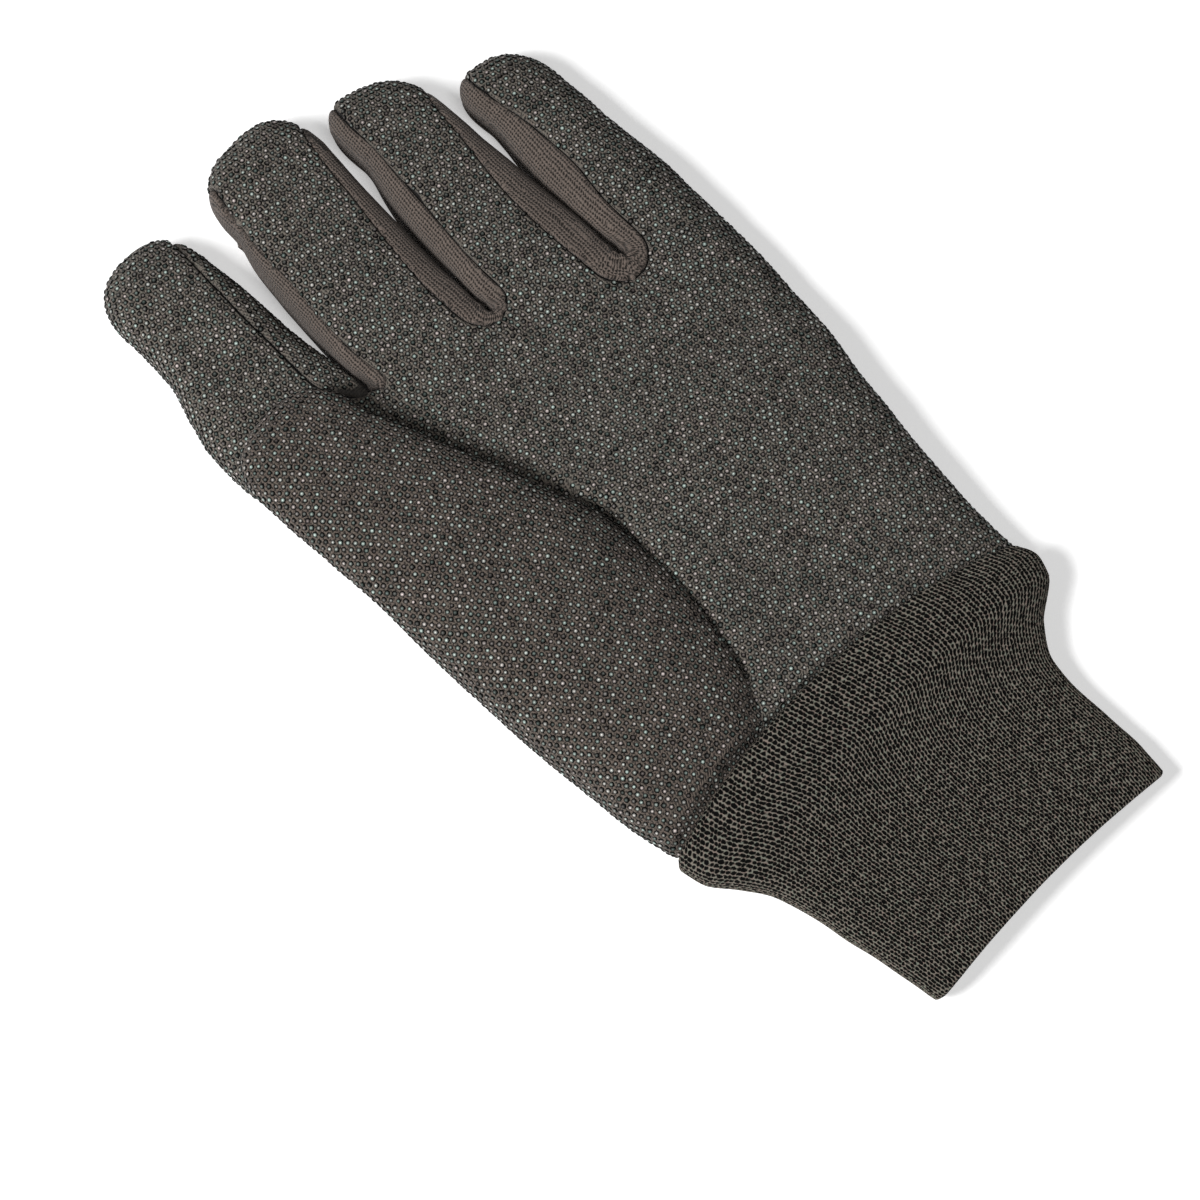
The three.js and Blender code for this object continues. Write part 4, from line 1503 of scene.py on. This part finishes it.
# share is the painted highlight: strongest at a dot's top and gone towards its rim, where the dot keeps its
# own near-black colour.
share = calculate(tree, "MULTIPLY", calculate(tree, "POWER", top.outputs["Fac"], 7.0), painted_highlight_strength)
tree.links.new(blend_colors(tree, share, (0.001, 0.001, 0.001), painted_highlight_color), shader.inputs["Base Color"])
tree.links.new(calculate(tree, "MULTIPLY_ADD", other_tint, -0.35, 0.45), shader.inputs["Roughness"])
shader.inputs["IOR"].default_value = 1.1

# %% Rib knit
RIB_LOOP = 1.22  # length of one loop along a rib, in mm
rib_knit, tree, shader = blank_material("rib_knit_yarn")
flat, u, v = flat_position(tree)
u = strayed(tree, u, 0.7, flat, 0.7)
v = strayed(tree, v, 2.2, flat, 0.5)
rib = calculate(tree, "FLOOR", u)
beside_hole = calculate(tree, "SUBTRACT", calculate(tree, "SUBTRACT", u, rib), 0.5)
every_other = calculate(tree, "FRACT", calculate(tree, "MULTIPLY", rib, 0.5))
loop = calculate(tree, "MULTIPLY_ADD", u, 0.12, calculate(tree, "DIVIDE", v, RIB_LOOP))
loop = calculate(tree, "ADD", loop, every_other)
past_hole = calculate(tree, "SUBTRACT", calculate(tree, "FRACT", loop), 0.5)
wide = calculate(tree, "POWER", calculate(tree, "DIVIDE", beside_hole, 0.44), 2.0)
long = calculate(tree, "POWER", calculate(tree, "DIVIDE", past_hole, 0.50), 2.0)
from_hole = calculate(tree, "SQRT", calculate(tree, "ADD", wide, long))
height = strayed(tree, from_hole, 0.8, flat, 1.8, 3.0)
height = strayed(tree, height, 0.9, flat, 0.65)
yarns = blend_colors(tree, speckle(tree, flat, 1.3, 3.0), (0.238, 0.136, 0.126), (0.089, 0.157, 0.118))
rise = soft_step(tree, height, 0.70, 1.14)
# The holes between the loops are painted near black: painted shade.
tree.links.new(blend_colors(tree, rise, (0.001, 0.001, 0.001), yarns), shader.inputs["Base Color"])
shader.inputs["Roughness"].default_value = 0.92
shader.inputs["Specular IOR Level"].default_value = 0.1
raise_surface(tree, shader, rise)

looks = {"dotted_jersey": dotted_jersey, "plain_jersey": plain_jersey, "rib_knit": rib_knit}
# The thumb panel gets the copy of the dotted jersey with painted shade.
for piece, slot in pieces.values():
    piece.data.materials.append(thumb_shaded_jersey if piece is thumb_panel else looks[slot])
seam_allowances.data.materials.append(shaded_cloth)
for piece in dot_pieces:
    piece.data.materials.append(plastic)

# %% [markdown]
# ## Floor, light and camera
# The glove lies on a white sheet that gives off a little light of its own, under two large soft boxes and a
# faint even sky, as in a catalogue photograph. The camera looks down on the palm from the cuff's side with a
# long lens. The distance is large, so that the lens hardly changes the proportions.

# %% Floor
FLOOR = 3.0  # how far the sheet reaches to each side, in metres
floor_mesh = bpy.data.meshes.new("floor")
corners = [(-FLOOR, -FLOOR, 0), (FLOOR, -FLOOR, 0), (FLOOR, FLOOR, 0), (-FLOOR, FLOOR, 0)]
floor_mesh.from_pydata(corners, [], [(0, 1, 2, 3)])
floor = add_object("floor", floor_mesh)
floor_look, tree, shader = blank_material("white_sheet")
shader.inputs["Base Color"].default_value = (0.93, 0.93, 0.93, 1)
shader.inputs["Roughness"].default_value = 0.9
shader.inputs["Emission Color"].default_value = (1, 1, 1, 1)
shader.inputs["Emission Strength"].default_value = 0.40
floor.data.materials.append(floor_look)

# %% Light
world = bpy.data.worlds.new("studio")
world.use_nodes = True
world.node_tree.nodes["Background"].inputs["Color"].default_value = (1, 1, 1, 1)
world.node_tree.nodes["Background"].inputs["Strength"].default_value = 0.08
bpy.context.scene.world = world
bpy.context.scene.view_settings.view_transform = "Standard"

CAMERA_AZIMUTH, CAMERA_ELEVATION = -48.5, 68
VIEW_WIDTH = 0.2808  # how much the picture shows from left to right, in metres
CAMERA_DISTANCE = 1.6
AIM = Vector((-23.6, -4.4, 0)) * MM


def look_from(azimuth, elevation, distance):
    """A place seen from AIM, and the rotation that looks back at it."""
    azimuth, elevation = math.radians(azimuth), math.radians(elevation)
    level = math.cos(elevation)
    back = Vector((math.sin(azimuth) * level, -math.cos(azimuth) * level, math.sin(elevation)))
    return AIM + back * distance, (-back).to_track_quat("-Z", "Y").to_euler()


def soft_box(name, azimuth, elevation, distance, size, power):
    """A square light that faces the glove."""
    light = bpy.data.lights.new(name, "AREA")
    light.shape = "SQUARE"
    light.size, light.energy = size, power
    lamp = add_object(name, light)
    lamp.location, lamp.rotation_euler = look_from(azimuth, elevation, distance)


soft_box("key", azimuth=-98, elevation=52, distance=1.4, size=0.4, power=22)
soft_box("fill", azimuth=-15, elevation=66, distance=1.5, size=0.5, power=5)

# %% Camera
lens = bpy.data.cameras.new("camera")
camera = add_object("camera", lens)
camera.location, camera.rotation_euler = look_from(CAMERA_AZIMUTH, CAMERA_ELEVATION, CAMERA_DISTANCE)
lens.lens = lens.sensor_width * CAMERA_DISTANCE / VIEW_WIDTH
bpy.context.scene.camera = camera
print("the lens is", round(lens.lens), "mm long")
